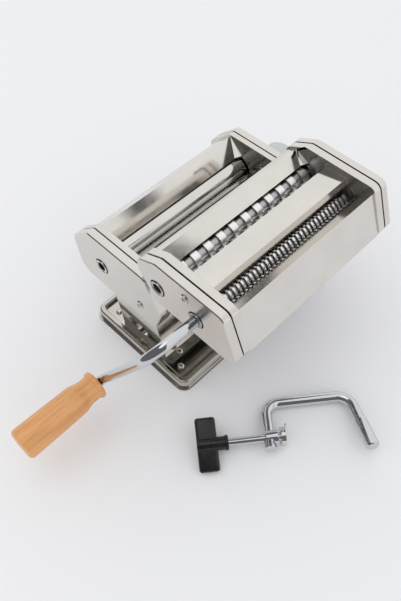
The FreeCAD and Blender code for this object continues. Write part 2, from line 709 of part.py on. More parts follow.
def joined(label, pieces):
    """Gather separate solids of one kind under one label."""
    group = document.addObject("Part::Compound", title(label))
    group.Links = pieces
    document.recompute()
    return listed(group, label)


def make_tray():
    """The pressed tray: a flat lip, a ridge and a sunk floor, hollow underneath."""
    body = new_body("base_tray")
    ridge = ("(tray_side - lip_width)", "(tray_depth / 2 - lip_width)")
    lip = ("tray_side", "(tray_depth / 2)")
    for (half_x, half_y), top in ((ridge, "tray_height"), (lip, "lip_height")):
        step = raised(body, "XY", 0, top, box(f"-{half_x}", half_x, f"-{half_y}", half_y))
        spots = [(f"{a}{half_x}", f"{b}{half_y}") for a in ("", "-") for b in ("", "-")]
        if top == "lip_height":
            rounded(body, step, "XY", spots, "tray_corner")
        else:
            bevelled(body, step, standing_edges(step.Shape, "XY", spots), "ridge_corner")
    short_x = "(floor_side - recess_corner)"
    short_y = "(floor_end - recess_corner)"
    recess = cut(body, "XY", "recess_floor", "tray_height", corners([
        (short_x, "-floor_end"), ("floor_side", f"-{short_y}"), ("floor_side", short_y),
        (short_x, "floor_end"), (f"-{short_x}", "floor_end"), ("-floor_side", short_y),
        ("-floor_side", f"-{short_y}"), (f"-{short_x}", "-floor_end")]))
    ridge = bevelled(body, recess, level_edges(recess.Shape, "Z", "tray_height"), "ridge_edge")
    hollowed(body, ridge, level_faces(ridge.Shape, "Z", "0"), "tray_wall")


def make_feet():
    """Four square rubber feet between the tray's floor and the table."""
    body = new_body("base_feet")
    squares = []
    for side_x in ("", "-"):
        for side_y in ("", "-"):
            x, y = f"{side_x}foot_x", f"{side_y}foot_y"
            squares.append(box(f"{x} - foot_side / 2", f"{x} + foot_side / 2",
                               f"{y} - foot_side / 2", f"{y} + foot_side / 2"))
    raised(body, "XY", 0, "recess_floor - tray_wall", *squares)


def make_rivets():
    """Domed rivet heads over the feet and on the stand's front flange."""
    body = new_body("base_rivets")
    flange_y = "stand_front_low - stand_front_flange / 2"
    foot = [regular(SMALL_ROUND, f"{a}foot_x", f"{b}foot_y", "rivet_radius")
            for a in ("", "-") for b in ("", "-")]
    raised(body, "XY", "recess_floor", "recess_floor + rivet_rise", *foot)
    flange = [regular(SMALL_ROUND, f"{a}(stand_side - rivet_inset)", flange_y, "rivet_radius")
              for a in ("", "-")]
    top = "recess_floor + stand_wall"
    heads = raised(body, "XY", top, f"{top} + rivet_rise", *flange)
    crowns = (level_edges(heads.Shape, "Z", "recess_floor + rivet_rise")
              + level_edges(heads.Shape, "Z", f"{top} + rivet_rise"))
    bevelled(body, heads, crowns, "rivet_rise * 0.6")


def make_stand():
    """The folded pedestal: two sides and a sloped front, with flanges above and below."""
    body = new_body("stand")
    outline = [("stand_front_low", "recess_floor"), ("stand_rear_low", "recess_floor"),
               ("stand_rear_high", "cheek_base_z"), ("stand_front_high", "cheek_base_z"),
               ("stand_front_high", "cheek_base_z - stand_bend_drop")]
    block = raised(body, "YZ", "-stand_side", "stand_side", corners(outline))
    ends = (level_faces(block.Shape, "Z", "recess_floor")
            + level_faces(block.Shape, "Z", "cheek_base_z"))
    rear = [f"Face{number}" for number, face in enumerate(block.Shape.Faces, start=1)
            if face.CenterOfMass.y > value("(stand_rear_low + stand_rear_high) / 2") - 0.01]
    hollowed(body, block, ends + rear, "stand_wall")
    inner = "(stand_side - stand_wall)"
    flanges = [box(f"{low}", f"{high}", "stand_front_high", "stand_rear_high")
               for low, high in ((f"{inner} - stand_top_flange", "stand_side"),
                                 ("-stand_side", f"-{inner} + stand_top_flange"))]
    raised(body, "XY", "cheek_base_z - stand_wall", "cheek_base_z", *flanges)
    sides = [box(low, high, "stand_front_low", "stand_rear_low")
             for low, high in ((inner, "stand_side + stand_side_flange"),
                               ("-stand_side - stand_side_flange", f"-{inner}"))]
    front = box("-stand_side", "stand_side", "stand_front_low - stand_front_flange",
                "stand_front_low + stand_wall")
    for flange in (*sides, front):
        raised(body, "XY", "recess_floor", "recess_floor + stand_wall", flange)
    centre = ("clamp_hole_y", "recess_floor + clamp_hole_rise")
    raised(body, "YZ", "-stand_side", "-stand_side + stand_wall + clamp_collar",
           regular(ROUND, *centre, "clamp_hole_radius + stand_wall"))
    cut(body, "YZ", "-stand_side", "-stand_side + stand_wall + clamp_collar",
        disc(*centre, "clamp_hole_radius"))


def make_pan(label, side, outline, face, rim, bevel=None):
    """A pressed cheek: a rounded plate at one level with a rim that runs to another."""
    body = new_body(label)
    low, high = span(side, *sorted((face, rim), key=value))
    base = raised(body, "YZ", low, high, corners([(y, z) for y, z, _ in outline]))
    for size in dict.fromkeys(size for _, _, size in outline):
        spots = [(y, z) for y, z, own in outline if own == size]
        if "round" in size:
            base = rounded(body, base, "YZ", spots, size)
        else:
            base = bevelled(body, base, standing_edges(base.Shape, "YZ", spots), size)
    sign = "" if side > 0 else "-"
    shell = hollowed(body, base, level_faces(base.Shape, "X", f"{sign}({rim})"), "web_wall")
    if bevel:
        bevelled(body, shell, level_edges(shell.Shape, "X", f"{sign}({face})"), bevel)
    return body


def bush_square(y, z, radius):
    """The square outline of a bearing bush."""
    half = f"({radius})"
    return box(f"{y} - {half}", f"{y} + {half}", f"{z} - {half}", f"{z} + {half}")


def make_side_frames():
    """Inner cheeks of the sheet roller: a square hole for the rear bush, a slot for the block."""
    for name, side in SIDES.items():
        body = make_pan(f"side_frame_{name}", side, CHEEK, "web_in", "frame_rim")
        bush = "drive_bush" if side < 0 else "journal_bush"
        slot = "(block_half + block_play)"
        cut(body, "YZ", *span(side, "web_in", "web_out"),
            bush_square("rear_axis", "roller_height", f"{bush} + seat_gap"),
            box(f"front_axis - {slot}", f"front_axis + gap_travel + {slot}",
                f"roller_height - {slot}", f"roller_height + {slot}"))


def make_side_covers():
    """Outer cheeks of the sheet roller, with the drive ring's hole or the spindle's."""
    for name, side in SIDES.items():
        body = make_pan(f"side_cover_{name}", side, CHEEK, "cover_face", "cover_rim", "cover_edge")
        hole = fitting("rear_axis", "roller_height", "ring_radius + seat_gap")
        if side > 0:
            hole = fitting("front_axis", "roller_height", "spindle_radius + shaft_clearance")
        cut(body, "YZ", *span(side, "cover_face - web_wall", "cover_face"), hole)


def make_bars(label, near, far, places_of_bars, radius):
    """Hexagonal bars along X, one at each place, on both sides if they don't cross the middle."""
    body = new_body(label)
    bars = [regular(6, y, z, radius, turn=30) for y, z in places_of_bars]
    raised(body, "YZ", near, far, *bars)
    return body


def make_screws(label, face, y, z):
    """Cover screws: one low round head on each cover."""
    body = new_body(label)
    top = f"{face} + screw_rise"
    for side in SIDES.values():
        heads = raised(body, "YZ", *span(side, face, top),
                       regular(SMALL_ROUND, y, z, "screw_head"))
    edges = level_edges(heads.Shape, "X", top) + level_edges(heads.Shape, "X", f"-({top})")
    bevelled(body, heads, edges, "screw_rise / 2")


def make_fastenings():
    """Tie rods with their nuts, and the studs and screws that hold the covers."""
    rods = [("rear_rod_y", "rod_z"), ("front_rod_y", "rod_z"), ("cover_screw_y", "cover_screw_z")]
    make_bars("tie_rods", "-web_in", "web_in", rods, "rod_radius")
    head_rods = [("head_rear_rod_y", "head_rod_z"), ("head_mid_rod_y", "head_rod_z"),
                 ("head_front_rod_y", "head_rod_z")]
    make_bars("cutter_tie_rods", "-web_in", "web_in", head_rods, "head_rod_radius")
    for label, spots in (("tie_rod_nuts", rods[:2]), ("cutter_tie_rod_nuts", head_rods)):
        body = new_body(label)
        for side in SIDES.values():
            nuts = [regular(6, y, z, "nut_radius") for y, z in spots]
            raised(body, "YZ", *span(side, "web_out", "web_out + nut_height"), *nuts)
    for label, face, spot in (("cover_studs", "cover_face", rods[2]),
                              ("cutter_cover_studs", "head_face", ("head_screw_y", "head_screw_z"))):
        body = new_body(label)
        for side in SIDES.values():
            raised(body, "YZ", *span(side, "web_out", f"{face} - web_wall"),
                   regular(6, *spot, "rod_radius"))
    make_screws("cover_screws", "cover_face", *rods[2])
    make_screws("cutter_cover_screws", "head_face", "head_screw_y", "head_screw_z")


def make_bushes(label, face, spots, rings):
    """Square bearing bushes in both webs and drive rings in the left cover."""
    body = new_body(label)
    for side in SIDES.values():
        for axis, height, driven in spots:
            big = driven and side < 0
            wall = "drive_bush" if big else "journal_bush"
            bore = "drive_radius" if big else "journal_radius"
            raised(body, "YZ", *span(side, "web_in - bush_proud", "web_out + bush_proud"),
                   bush_square(axis, height, wall),
                   fitting(axis, height, f"{bore} + shaft_clearance"))
    for axis, height in rings:
        raised(body, "YZ", f"-{face} - ring_proud", f"-{face} + web_wall",
               regular(ROUND, axis, height, "ring_radius"),
               fitting(axis, height, "drive_radius + shaft_clearance"))


def make_socket(body, end):
    """The crank's socket in a driven shaft: a round bore with a slot at its floor."""
    floor = f"-{end} + socket_depth"
    cut(body, "YZ", f"-{end}", floor, disc(0, 0, "socket_radius"))
    half = "(tongue_width / 2 + tongue_play)"
    cut(body, "YZ", floor, f"{floor} + tongue_depth",
        box(f"-{half}", half, "-socket_radius", "socket_radius"))


def make_gear(label, y, z, pitch, addendum, dedendum, hexagonal, meshing):
    """A straight gear of tapered teeth, on a round or a hexagonal seat."""
    body = new_body(label)
    root = f"({pitch} - {dedendum})"
    tip = f"({pitch} + {addendum})"
    bore = fitting(0, 0, "drive_radius + seat_gap")
    if hexagonal:
        bore = regular(6, 0, 0, "journal_radius + seat_gap")
    raised(body, "YZ", "-gear_out", "-gear_in", regular(int(value("gear_teeth")), 0, 0, root), bore)
    half = f"pi * {pitch} / gear_teeth * tooth_share"
    slope = f"tan({PRESSURE_ANGLE})"
    foot = f"({half} + {dedendum} * {slope})"
    top = f"({half} - {addendum} * {slope})"
    tooth = raised(body, "YZ", "-gear_out", "-gear_in", corners([
        (f"{root} - {dedendum} / 4", f"-{foot}"), (tip, f"-{top}"),
        (tip, top), (f"{root} - {dedendum} / 4", foot)]))
    teeth = body.newObject("PartDesign::PolarPattern", body.Name + "Teeth")
    teeth.Originals = [tooth]
    teeth.Axis = (origin_part(body, "X_Axis"), [""])
    teeth.Angle = ALL_ROUND
    teeth.setExpression("Occurrences", bound("gear_teeth"))
    body.Tip = teeth
    placed(body, y=y, z=z, roll="180 / gear_teeth" if meshing else 0)


def hexagonal_end():
    """The end of a partner's shaft, turned as its gear is to mesh."""
    return regular(6, 0, 0, "journal_radius", turn="180 / gear_teeth")


def make_smooth_rollers():
    """The driven rear roller with the crank's socket, and the front roller in its blocks."""
    rear = new_body("rear_roller")
    end = "(cover_face + ring_proud / 2)"
    turned(rear, [(f"-{end}", 0), (f"-{end}", "drive_radius"), ("-barrel_end", "drive_radius"),
                  ("-barrel_end", "roller_radius"), ("barrel_end", "roller_radius"),
                  ("barrel_end", "journal_radius"), ("web_out + bush_proud", "journal_radius"),
                  ("web_out + bush_proud", 0)])
    make_socket(rear, end)
    placed(rear, y="rear_axis", z="roller_height")
    front = new_body("front_roller")
    turned(front, [("-block_out", 0), ("-block_out", "journal_radius"),
                   ("-barrel_end", "journal_radius"), ("-barrel_end", "roller_radius"),
                   ("barrel_end", "roller_radius"), ("barrel_end", "journal_radius"),
                   ("block_out", "journal_radius"), ("block_out", 0)])
    raised(front, "YZ", "-gear_out", "-block_out", hexagonal_end())
    placed(front, y="front_axis", z="roller_height")
    teeth = ("roller_pitch", "roller_addendum", "roller_dedendum")
    make_gear("rear_roller_gear", "rear_axis", "roller_height", *teeth, False, False)
    make_gear("front_roller_gear", "front_axis", "roller_height", *teeth, True, True)


def make_blocks():
    """Sliding bearing blocks of the front roller; the far one has the eccentric's slot."""
    axis = ("front_axis", "roller_height")
    bore = fitting(*axis, "journal_radius + shaft_clearance")
    plate = bush_square(*axis, "block_half + block_margin")
    for name, side in SIDES.items():
        body = new_body(f"bearing_block_{name}")
        raised(body, "YZ", *span(side, "web_in", "block_face"), bush_square(*axis, "block_half"), bore)
        raised(body, "YZ", *span(side, "block_face", "block_out"), plate, bore)
        if side > 0:
            reach = "(pin_throw + pin_radius + pin_play)"
            raised(body, "YZ", "block_out", "boss_out",
                   box("pin_axis - boss_half_y", "pin_axis + boss_half_y",
                       "roller_height - boss_half_z", "roller_height + boss_half_z"),
                   box("pin_axis - pin_radius - pin_play", "pin_axis + pin_radius + pin_play",
                       f"roller_height - {reach}", f"roller_height + {reach}"))


def make_regulator():
    """The knob spindle with its eccentric pin, the index plate, the knob, its spring and cap."""
    axis = {"y": "front_axis", "z": "roller_height"}
    spindle = new_body("knob_spindle")
    inner = "(cover_face - web_wall)"
    flange = f"({inner} - knob_gap - spindle_flange_width)"
    for near, far, middle, radius in (
            ("block_out + knob_gap", flange, "-pin_throw", "pin_radius"),
            (flange, f"{inner} - knob_gap", 0, "spindle_flange"),
            (f"{inner} - knob_gap", "spindle_end", 0, "spindle_radius"),
            ("spindle_end", "spindle_end + spindle_flange_width", 0, "spring_radius")):
        raised(spindle, "YZ", near, far, regular(ROUND, middle, 0, radius))
    placed(spindle, **axis)
    plate = new_body("index_plate")
    raised(plate, "YZ", "cover_face", "cover_face + index_wall",
           regular(ROUND, 0, 0, "index_radius"), fitting(0, 0, "spindle_radius + knob_gap"))
    placed(plate, **axis)
    floor = "(spindle_end - spring_length)"
    room = "(spring_radius + knob_gap)"
    knob = lathed("regulator_knob", [
        ("knob_back", "spindle_radius + shaft_clearance"), ("knob_back", "knob_radius"),
        ("knob_front - knob_edge", "knob_radius"), ("knob_front", "knob_radius - knob_edge"),
        ("knob_front", room), (floor, room), (floor, "spindle_radius + shaft_clearance")])
    placed(knob, **axis)
    cap = new_body("knob_cap")
    raised(cap, "YZ", "knob_front - knob_floor / 2", "knob_front",
           regular(LARGE_ROUND, 0, 0, f"{room} - seat_gap"))
    placed(cap, **axis)
    spring = new_body("knob_spring")
    raised(spring, "YZ", f"{floor} + spring_length / 2", "spindle_end",
           regular(ROUND, 0, 0, "spring_radius"), regular(ROUND, 0, 0, "spring_radius - spring_wall"))
    placed(spring, **axis)


def make_hopper():
    """Folded plates over and in front of the rollers, scrapers under them, end wings above."""
    inset = "panel_inset"
    rear = [("hopper_rear_y", "hopper_rear_z"), ("hopper_fold_y", "hopper_fold_z"),
            ("hopper_back_y", "hopper_back_z"), ("hopper_back_y", "cheek_base_z + panel_inset")]
    listed(folded("hopper_rear_plate", rear, "panel_wall"), "hopper_rear_plate")
    front = [(f"cheek_front_low + {inset}", "cheek_base_z"),
             (f"cheek_nose + 2 * {inset}", "cheek_nose_z"),
             ("front_ridge_y", "front_ridge_z"), ("hopper_front_y", "hopper_front_z")]
    listed(folded("hopper_front_plate", front, "panel_wall"), "hopper_front_plate")
    reach = "(roller_radius + scraper_gap) * sqrt(0.5)"
    drop = "scraper_length * cos(30)"
    lean = "scraper_length * sin(30)"
    for label, axis, out, wall in (("rear_scraper", "rear_axis", "+", "-panel_wall"),
                                   ("front_scraper", "front_axis", "-", "panel_wall")):
        blade = [(f"{axis} {out} {reach}", f"roller_height - {reach}"),
                 (f"{axis} {out} ({reach} + {lean})", f"roller_height - {reach} - {drop}"),
                 (f"{axis} {out} ({reach} + 2 * {lean})", f"roller_height - {reach} - {drop}")]
        listed(folded(label, blade, wall), label)
    make_wings("hopper_wings", ("hopper_fold_y", "hopper_fold_z"), ("hopper_rear_y", "hopper_rear_z"))


def make_wings(label, top, bottom):
    """Thin triangles at both ends of a sloped plate, which lead the dough off the webs."""
    lift = value("panel_wall")
    pieces = []
    for name, side in SIDES.items():
        web = side * value("web_in")
        reach = side * value("wing_reach")
        upper = Vector(web, value(top[0]), value(top[1]))
        inner = Vector(web - reach, value(bottom[0]), value(bottom[1]) + lift)
        outer = Vector(web, value(bottom[0]) - value("wing_shift"), inner.z)
        face = Part.Face(Part.makePolygon([upper, inner, outer, upper]))
        wing = document.addObject("Part::Feature", title(label) + title(name))
        wing.Shape = face.extrude(Vector(0, 0, lift))
        pieces.append(wing)
    joined(label, pieces)


def make_head_cheeks():
    """Inner and outer cheeks of the cutter head."""
    axes = {"wide_rear_axis": True, "wide_front_axis": False,
            "narrow_rear_axis": True, "narrow_front_axis": False}
    for name, side in SIDES.items():
        frame = make_pan(f"cutter_frame_{name}", side, HEAD, "web_in", "head_frame_rim")
        holes = [bush_square(axis, "cutter_height", "seat_gap + "
                             + ("drive_bush" if driven and side < 0 else "journal_bush"))
                 for axis, driven in axes.items()]
        cut(frame, "YZ", *span(side, "web_in", "web_out"), *holes)
        cover = make_pan(f"cutter_cover_{name}", side, HEAD, "head_face", "head_cover_rim",
                         "cover_edge")
        if side < 0:
            cut(cover, "YZ", *span(side, "head_face - web_wall", "head_face"),
                fitting("wide_rear_axis", "cutter_height", "ring_radius + seat_gap"),
                fitting("narrow_rear_axis", "cutter_height", "ring_radius + seat_gap"))
    make_bushes("cutter_bushes", "head_face",
                [(axis, "cutter_height", driven) for axis, driven in axes.items()],
                [(axis, "cutter_height") for axis, driven in axes.items() if driven])


def ridge_count(pitch, ridge):
    """How many ridges of a driven cutter fit between the webs, as a formula."""
    return f"(floor((2 * web_in - 2 * cutter_end_gap - {ridge}) / {pitch}) + 1)"


def ridge_start(pitch, ridge):
    """Where the first ridge of a driven cutter starts, as a formula."""
    return f"(-(({ridge_count(pitch, ridge)} - 1) * {pitch} + {ridge}) / 2)"


def make_cutter(label, axis, family, sides, core_sides, driven):
    """A cutter: ridges on a core, half a pitch apart from its partner's.

    The one that holds the crank is turned with it.
    """
    radius, core, pitch, ridge = (f"{family}_{part}" for part in ("radius", "core", "pitch", "ridge"))
    body = new_body(label)
    count = ridge_count(pitch, ridge)
    start = ridge_start(pitch, ridge)
    if not driven:
        count = f"({count} - 1)"
        start = f"({start} + {pitch} / 2)"
    near = "(head_face + ring_proud / 2)" if driven else "(web_out + bush_proud)"
    near_radius = "drive_radius" if driven else "journal_radius"
    raised(body, "YZ", "-barrel_end", "barrel_end", regular(core_sides, 0, 0, core))
    raised(body, "YZ", f"-{near}", "-barrel_end", regular(ROUND, 0, 0, near_radius))
    raised(body, "YZ", "barrel_end", "web_out + bush_proud", regular(ROUND, 0, 0, "journal_radius"))
    if driven:
        make_socket(body, near)
    else:
        raised(body, "YZ", "-gear_out", f"-{near}", hexagonal_end())
    first = raised(body, "YZ", start, f"{start} + {ridge}", regular(sides, 0, 0, radius))
    repeated(body, first, pitch, count)
    roll = "crank_angle" if axis == "narrow_rear_axis" else 0
    placed(body, y=axis, z="cutter_height", roll=roll)


def add_comb(body, axis, family, outward, driven):
    """Add a scraper comb: a bar between the webs whose fingers reach into one cutter's grooves."""
    radius, core, pitch, ridge = (f"{family}_{part}" for part in ("radius", "core", "pitch", "ridge"))
    near = f"({core} + comb_gap)"
    start = ridge_start(pitch, ridge)
    count = f"({ridge_count(pitch, ridge)} - 1)"
    first = f"({start} + {ridge} + comb_gap)"
    if not driven:
        count = f"({count} - 1)"
        first = f"({first} + {pitch} / 2)"
    width = f"({pitch} - {ridge} - 2 * comb_gap)"
    top = f"(cutter_height - sqrt({radius} ^ 2 - {near} ^ 2) - comb_gap)"
    low, high = (near, f"{near} + comb_wall") if outward > 0 else (f"-{near} - comb_wall", f"-{near}")
    levels = (f"-({axis} + {high})", f"-({axis} + {low})")
    raised(body, "XZ", *levels, box("-web_in", "web_in", f"{top} - comb_bar", top))
    finger = raised(body, "XZ", *levels, box(first, f"{first} + {width}", f"{top} - comb_bar / 2",
                                             "cutter_height"))
    repeated(body, finger, pitch, count)


def make_cutters():
    """Both pairs of cutters with their gears and combs."""
    # Sides of the ridges and of the core
    families = {"wide": (8, 4), "narrow": (6, 4)}
    for family, (sides, core_sides) in families.items():
        teeth = (f"{family}_distance / 2", "cutter_addendum", "cutter_dedendum")
        combs = new_body(f"{family}_combs")
        for place, driven in (("rear", True), ("front", False)):
            axis = f"{family}_{place}_axis"
            make_cutter(f"{family}_cutter_{place}", axis, family, sides, core_sides, driven)
            make_gear(f"{family}_gear_{place}", axis, "cutter_height", *teeth, not driven, not driven)
            add_comb(combs, axis, family, 1 if driven else -1, driven)


def make_head_plates():
    """Folded plates of the cutter head, its end wings and the hooks behind it."""
    inset = "panel_inset"
    rear = [("head_heel_y + web_wall", f"head_heel_z + 2 * {inset}"),
            (f"head_back_y - {inset}", "head_back_z"),
            (f"head_shoulder_y - {inset}", f"head_shoulder_z - {inset}"),
            ("rear_plate_fold_y", "rear_plate_fold_z"), ("rear_plate_low_y", "rear_plate_low_z")]
    listed(folded("cutter_rear_plate", rear, "-panel_wall"), "cutter_rear_plate")
    middle = [("mid_plate_rear_y", "mid_plate_rear_z"), ("mid_plate_bend_y", "mid_plate_bend_z"),
              ("mid_plate_front_y", "mid_plate_front_z")]
    listed(folded("cutter_middle_plate", middle, "-panel_wall"), "cutter_middle_plate")
    front = [(f"front_panel_{part}_y", f"front_panel_{part}_z") for part in ("rear", "fold", "foot")]
    front.append(("front_panel_foot_y + front_panel_return",
                  "front_panel_foot_z - front_panel_return / 2"))
    listed(folded("cutter_front_panel", front, "-panel_wall"), "cutter_front_panel")
    make_wings("cutter_wings", ("rear_plate_fold_y", "rear_plate_fold_z"),
               ("rear_plate_low_y", "rear_plate_low_z"))
    make_hooks()


def make_hooks():
    """Two strips on the head's back that hang over the top fold of the sheeter's front plate."""
    rise = "(head_back_z - head_heel_z - 2 * panel_inset)"
    run = "(head_back_y - panel_inset - head_heel_y - web_wall)"
    slope = "(hopper_front_z - front_ridge_z) / (hopper_front_y - front_ridge_y)"
    strip = []
    for height in ("hook_foot + hook_foot", "hook_foot"):
        z = f"(front_ridge_z + {height})"
        climb = f"({z} - head_heel_z - 2 * panel_inset) / {rise}"
        strip.append((f"head_heel_y + web_wall + {climb} * {run}", z))
    strip.append(("front_ridge_y", "front_ridge_z + 2 * hook_gap"))
    strip.append(("front_ridge_y + hook_reach", f"front_ridge_z + 2 * hook_gap + hook_reach * {slope}"))
    hooks = [folded(f"cutter_hook_{name}", strip, "-hook_wall",
                    *span(side, "web_in - hook_inset - hook_width / 2",
                          "web_in - hook_inset + hook_width / 2"))
             for name, side in SIDES.items()]
    joined("cutter_hooks", hooks)


def make_crank():
    """The bent crank rod with its flat tongue, and the turned wooden grip on its pin."""
    rod = new_body("crank_rod")
    knee = bend("-crank_knee + crank_bend * tan(crank_turn / 2)", "-crank_bend", "crank_bend",
                90, "crank_turn")
    heel = bend("-crank_heel - crank_bend_low * tan(crank_turn / 2)",
                "-crank_throw + crank_bend_low", "crank_bend_low", "crank_turn - 90", "-crank_turn")
    bent_rod(rod, "XZ", [("-crank_start", 0), *knee, *heel,
                         ("-grip_start - mouth_depth * 0.8", "-crank_throw")], "crank_radius")
    raised(rod, "YZ", "-crank_start", "-crank_start + tongue_depth - 2 * tongue_play",
           box("-tongue_width / 2", "tongue_width / 2", "-crank_radius * 0.9", "crank_radius * 0.9"))
    raised(rod, "YZ", "-grip_end + grip_round", "-grip_start - mouth_depth / 2",
           regular(ROUND, 0, "-crank_throw", "grip_pin_radius"))
    placed(rod, y="narrow_rear_axis", z="cutter_height", roll="crank_angle")
    bore = "grip_pin_radius + shaft_clearance"
    floor = "-grip_end + grip_round - tongue_play"
    grip = lathed("wooden_grip", [
        ("-grip_start - mouth_depth", bore), ("-grip_start - mouth_depth", "grip_mouth"),
        ("-grip_start", "grip_mouth"), ("-grip_start", "grip_bead"),
        ("-grip_start - bead_width", "grip_bead"), ("-grip_start - bead_width", "grip_neck"),
        ("-grip_start - neck_length", "grip_neck"),
        ("-grip_start - neck_length - neck_slope", "grip_shoulder"),
        ("-grip_end + grip_round", "grip_end_radius"), ("-grip_end", "grip_end_radius - grip_round"),
        ("-grip_end", 0), (floor, 0), (floor, bore)])
    placed(grip, y="grip_axis_y", z="grip_axis_z")


def clamp_place(body, x=0, y=0, turn=0, roll=0):
    """Lay a piece of the clamp on the table: X along its back, Y along its legs."""
    base = "create(<<vector>>; clamp_x; clamp_y; clamp_radius)"
    lie = f"create(<<placement>>; {base}; create(<<rotation>>; clamp_turn; 0; clamp_tilt))"
    spot = f"create(<<vector>>; {x}; {y}; 0)"
    own = f"create(<<placement>>; {spot}; create(<<rotation>>; {turn}; 0; {roll}))"
    body.setExpression("Placement", bound(f"{lie} * {own}"))
    document.recompute()


def make_clamp():
    """The table clamp's bent rod with an eye for the screw, and the sleeve on its free leg."""
    rod = new_body("clamp_rod")
    knees = (bend("clamp_span - clamp_bend * tan(leg_turn / 2)", "clamp_bend", "clamp_bend",
                  "leg_turn - 90", "-leg_turn")
             + bend("clamp_bend * tan(arm_turn / 2)", "clamp_bend", "clamp_bend", -90, "-arm_turn"))
    bent_rod(rod, "XY", [("clamp_span + clamp_leg_lean", "clamp_leg"), *knees,
                         ("-clamp_arm_lean", "clamp_arm")], "clamp_radius")
    raised(rod, "YZ", "clamp_span - eye_width / 2", "clamp_span + eye_width / 2",
           regular(ROUND, "screw_axis_y", 0, "clamp_screw_radius + eye_wall"))
    cut(rod, "YZ", "clamp_span - eye_width", "clamp_span + eye_width",
        fitting("screw_axis_y", 0, "clamp_screw_radius + shaft_clearance"))
    clamp_place(rod)
    sleeve = new_body("clamp_sleeve")
    outside = regular(ROUND, 0, 0, "clamp_radius + sleeve_wall")
    raised(sleeve, "YZ", "-sleeve_length", "seat_gap", outside,
           fitting(0, 0, "clamp_radius + seat_gap"))
    raised(sleeve, "YZ", "seat_gap", "sleeve_cap", outside)
    clamp_place(sleeve, "-clamp_arm_lean", "clamp_arm", turn="180 deg - arm_turn * 1 deg")


def make_clamp_screw():
    """The clamp's screw with its pressure pad and wing knob."""
    screw = new_body("clamp_screw")
    middle = "(pad_face + pad_wall / 2)"
    raised(screw, "YZ", middle, "wing_start", regular(ROUND, 0, 0, "clamp_screw_radius"))
    clamp_place(screw, y="screw_axis_y")
    pad = new_body("clamp_pad")
    outside = regular(ROUND, 0, 0, "pad_radius")
    raised(pad, "YZ", "pad_face", f"{middle} - pad_play", outside)
    raised(pad, "YZ", f"{middle} - pad_play", "pad_face + pad_wall", outside,
           fitting(0, 0, "clamp_screw_radius + shaft_clearance"))
    raised(pad, "XY", "pad_radius * 0.8", "pad_radius * 0.8 + tail_length",
           box("pad_face", "pad_face + 2 * tail_radius", "-tail_radius", "tail_radius"))
    clamp_place(pad, y="screw_axis_y")
    knob = new_body("wing_knob")
    raised(knob, "YZ", "knob_hub", "wing_start + wing_width", regular(ROUND, 0, 0, "hub_radius"))
    raised(knob, "YZ", "wing_start", "wing_start + wing_width",
           box("-wing_span / 2", "wing_span / 2", "-wing_wall / 2", "wing_wall / 2"))
    cut(knob, "YZ", "knob_hub", "wing_start", fitting(0, 0, "clamp_screw_radius + seat_gap"))
    clamp_place(knob, y="screw_axis_y", roll="-wing_roll")


def check():
    """Stop if any object of the document failed or any sub-part isn't a valid solid."""
    for thing in document.Objects:
        if "Invalid" in thing.State or "Error" in thing.State:
            raise RuntimeError(f"{thing.Name} failed: {thing.State}")
    for piece in subparts:
        if piece.Shape.isNull() or not piece.Shape.isValid() or not piece.Shape.Solids:
            raise RuntimeError(f"{piece.Label} is not a valid solid")


def export():
    """Write each sub-part to its own file."""
    os.makedirs("parts", exist_ok=True)
    for piece in subparts:
        piece.Shape.exportStep(f"parts/{piece.Label}.step")


def main():
    """Build every sub-part, check the document and export it."""
    fill_sheets()
    make_tray()
    make_feet()
    make_rivets()
    make_stand()
    make_side_frames()
    make_side_covers()
    make_fastenings()
    make_bushes("roller_bushes", "cover_face", [("rear_axis", "roller_height", True)],
                [("rear_axis", "roller_height")])
    make_smooth_rollers()
    make_blocks()
    make_regulator()
    make_hopper()
    make_head_cheeks()
    make_cutters()
    make_head_plates()
    make_crank()
    make_clamp()
    make_clamp_screw()
    check()
    export()
    print(len(subparts), "sub-parts written")


main()
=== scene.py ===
"""Dress the pasta machine: its plated sheets, rollers, cutters, crank, grip and clamp.

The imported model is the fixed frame. Every piece below is built in that frame, in
metres, with X along the rollers, the crank on the -X side and Z up.
"""

import json
import logging
import math
from collections.abc import Iterator, Mapping, Sequence
from contextlib import contextmanager
from dataclasses import dataclass
from enum import Enum
from functools import cache

import bmesh
import bpy
from mathutils import Matrix, Vector

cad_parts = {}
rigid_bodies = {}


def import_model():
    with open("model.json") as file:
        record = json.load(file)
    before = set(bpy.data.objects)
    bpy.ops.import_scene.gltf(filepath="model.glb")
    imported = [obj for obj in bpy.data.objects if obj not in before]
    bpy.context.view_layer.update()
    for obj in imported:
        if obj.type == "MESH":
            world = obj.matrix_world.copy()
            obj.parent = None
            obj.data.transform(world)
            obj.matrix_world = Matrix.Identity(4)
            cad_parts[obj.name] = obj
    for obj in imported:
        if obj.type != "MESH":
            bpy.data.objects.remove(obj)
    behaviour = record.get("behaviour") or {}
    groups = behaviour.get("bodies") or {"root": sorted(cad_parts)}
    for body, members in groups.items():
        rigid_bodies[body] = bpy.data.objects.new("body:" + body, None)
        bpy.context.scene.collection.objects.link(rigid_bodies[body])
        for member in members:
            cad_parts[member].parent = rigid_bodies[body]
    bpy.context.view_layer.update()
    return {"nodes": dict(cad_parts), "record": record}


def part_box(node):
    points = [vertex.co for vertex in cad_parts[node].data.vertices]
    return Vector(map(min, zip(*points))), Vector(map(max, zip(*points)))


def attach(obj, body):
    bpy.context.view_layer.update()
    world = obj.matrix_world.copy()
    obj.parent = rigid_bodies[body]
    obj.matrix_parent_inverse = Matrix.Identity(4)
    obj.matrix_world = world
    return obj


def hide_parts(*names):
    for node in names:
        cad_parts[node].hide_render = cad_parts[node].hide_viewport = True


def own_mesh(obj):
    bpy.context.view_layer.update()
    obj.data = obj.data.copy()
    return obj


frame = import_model()

logging.basicConfig(level=logging.INFO, format="%(message)s")
log = logging.getLogger("pasta_machine")

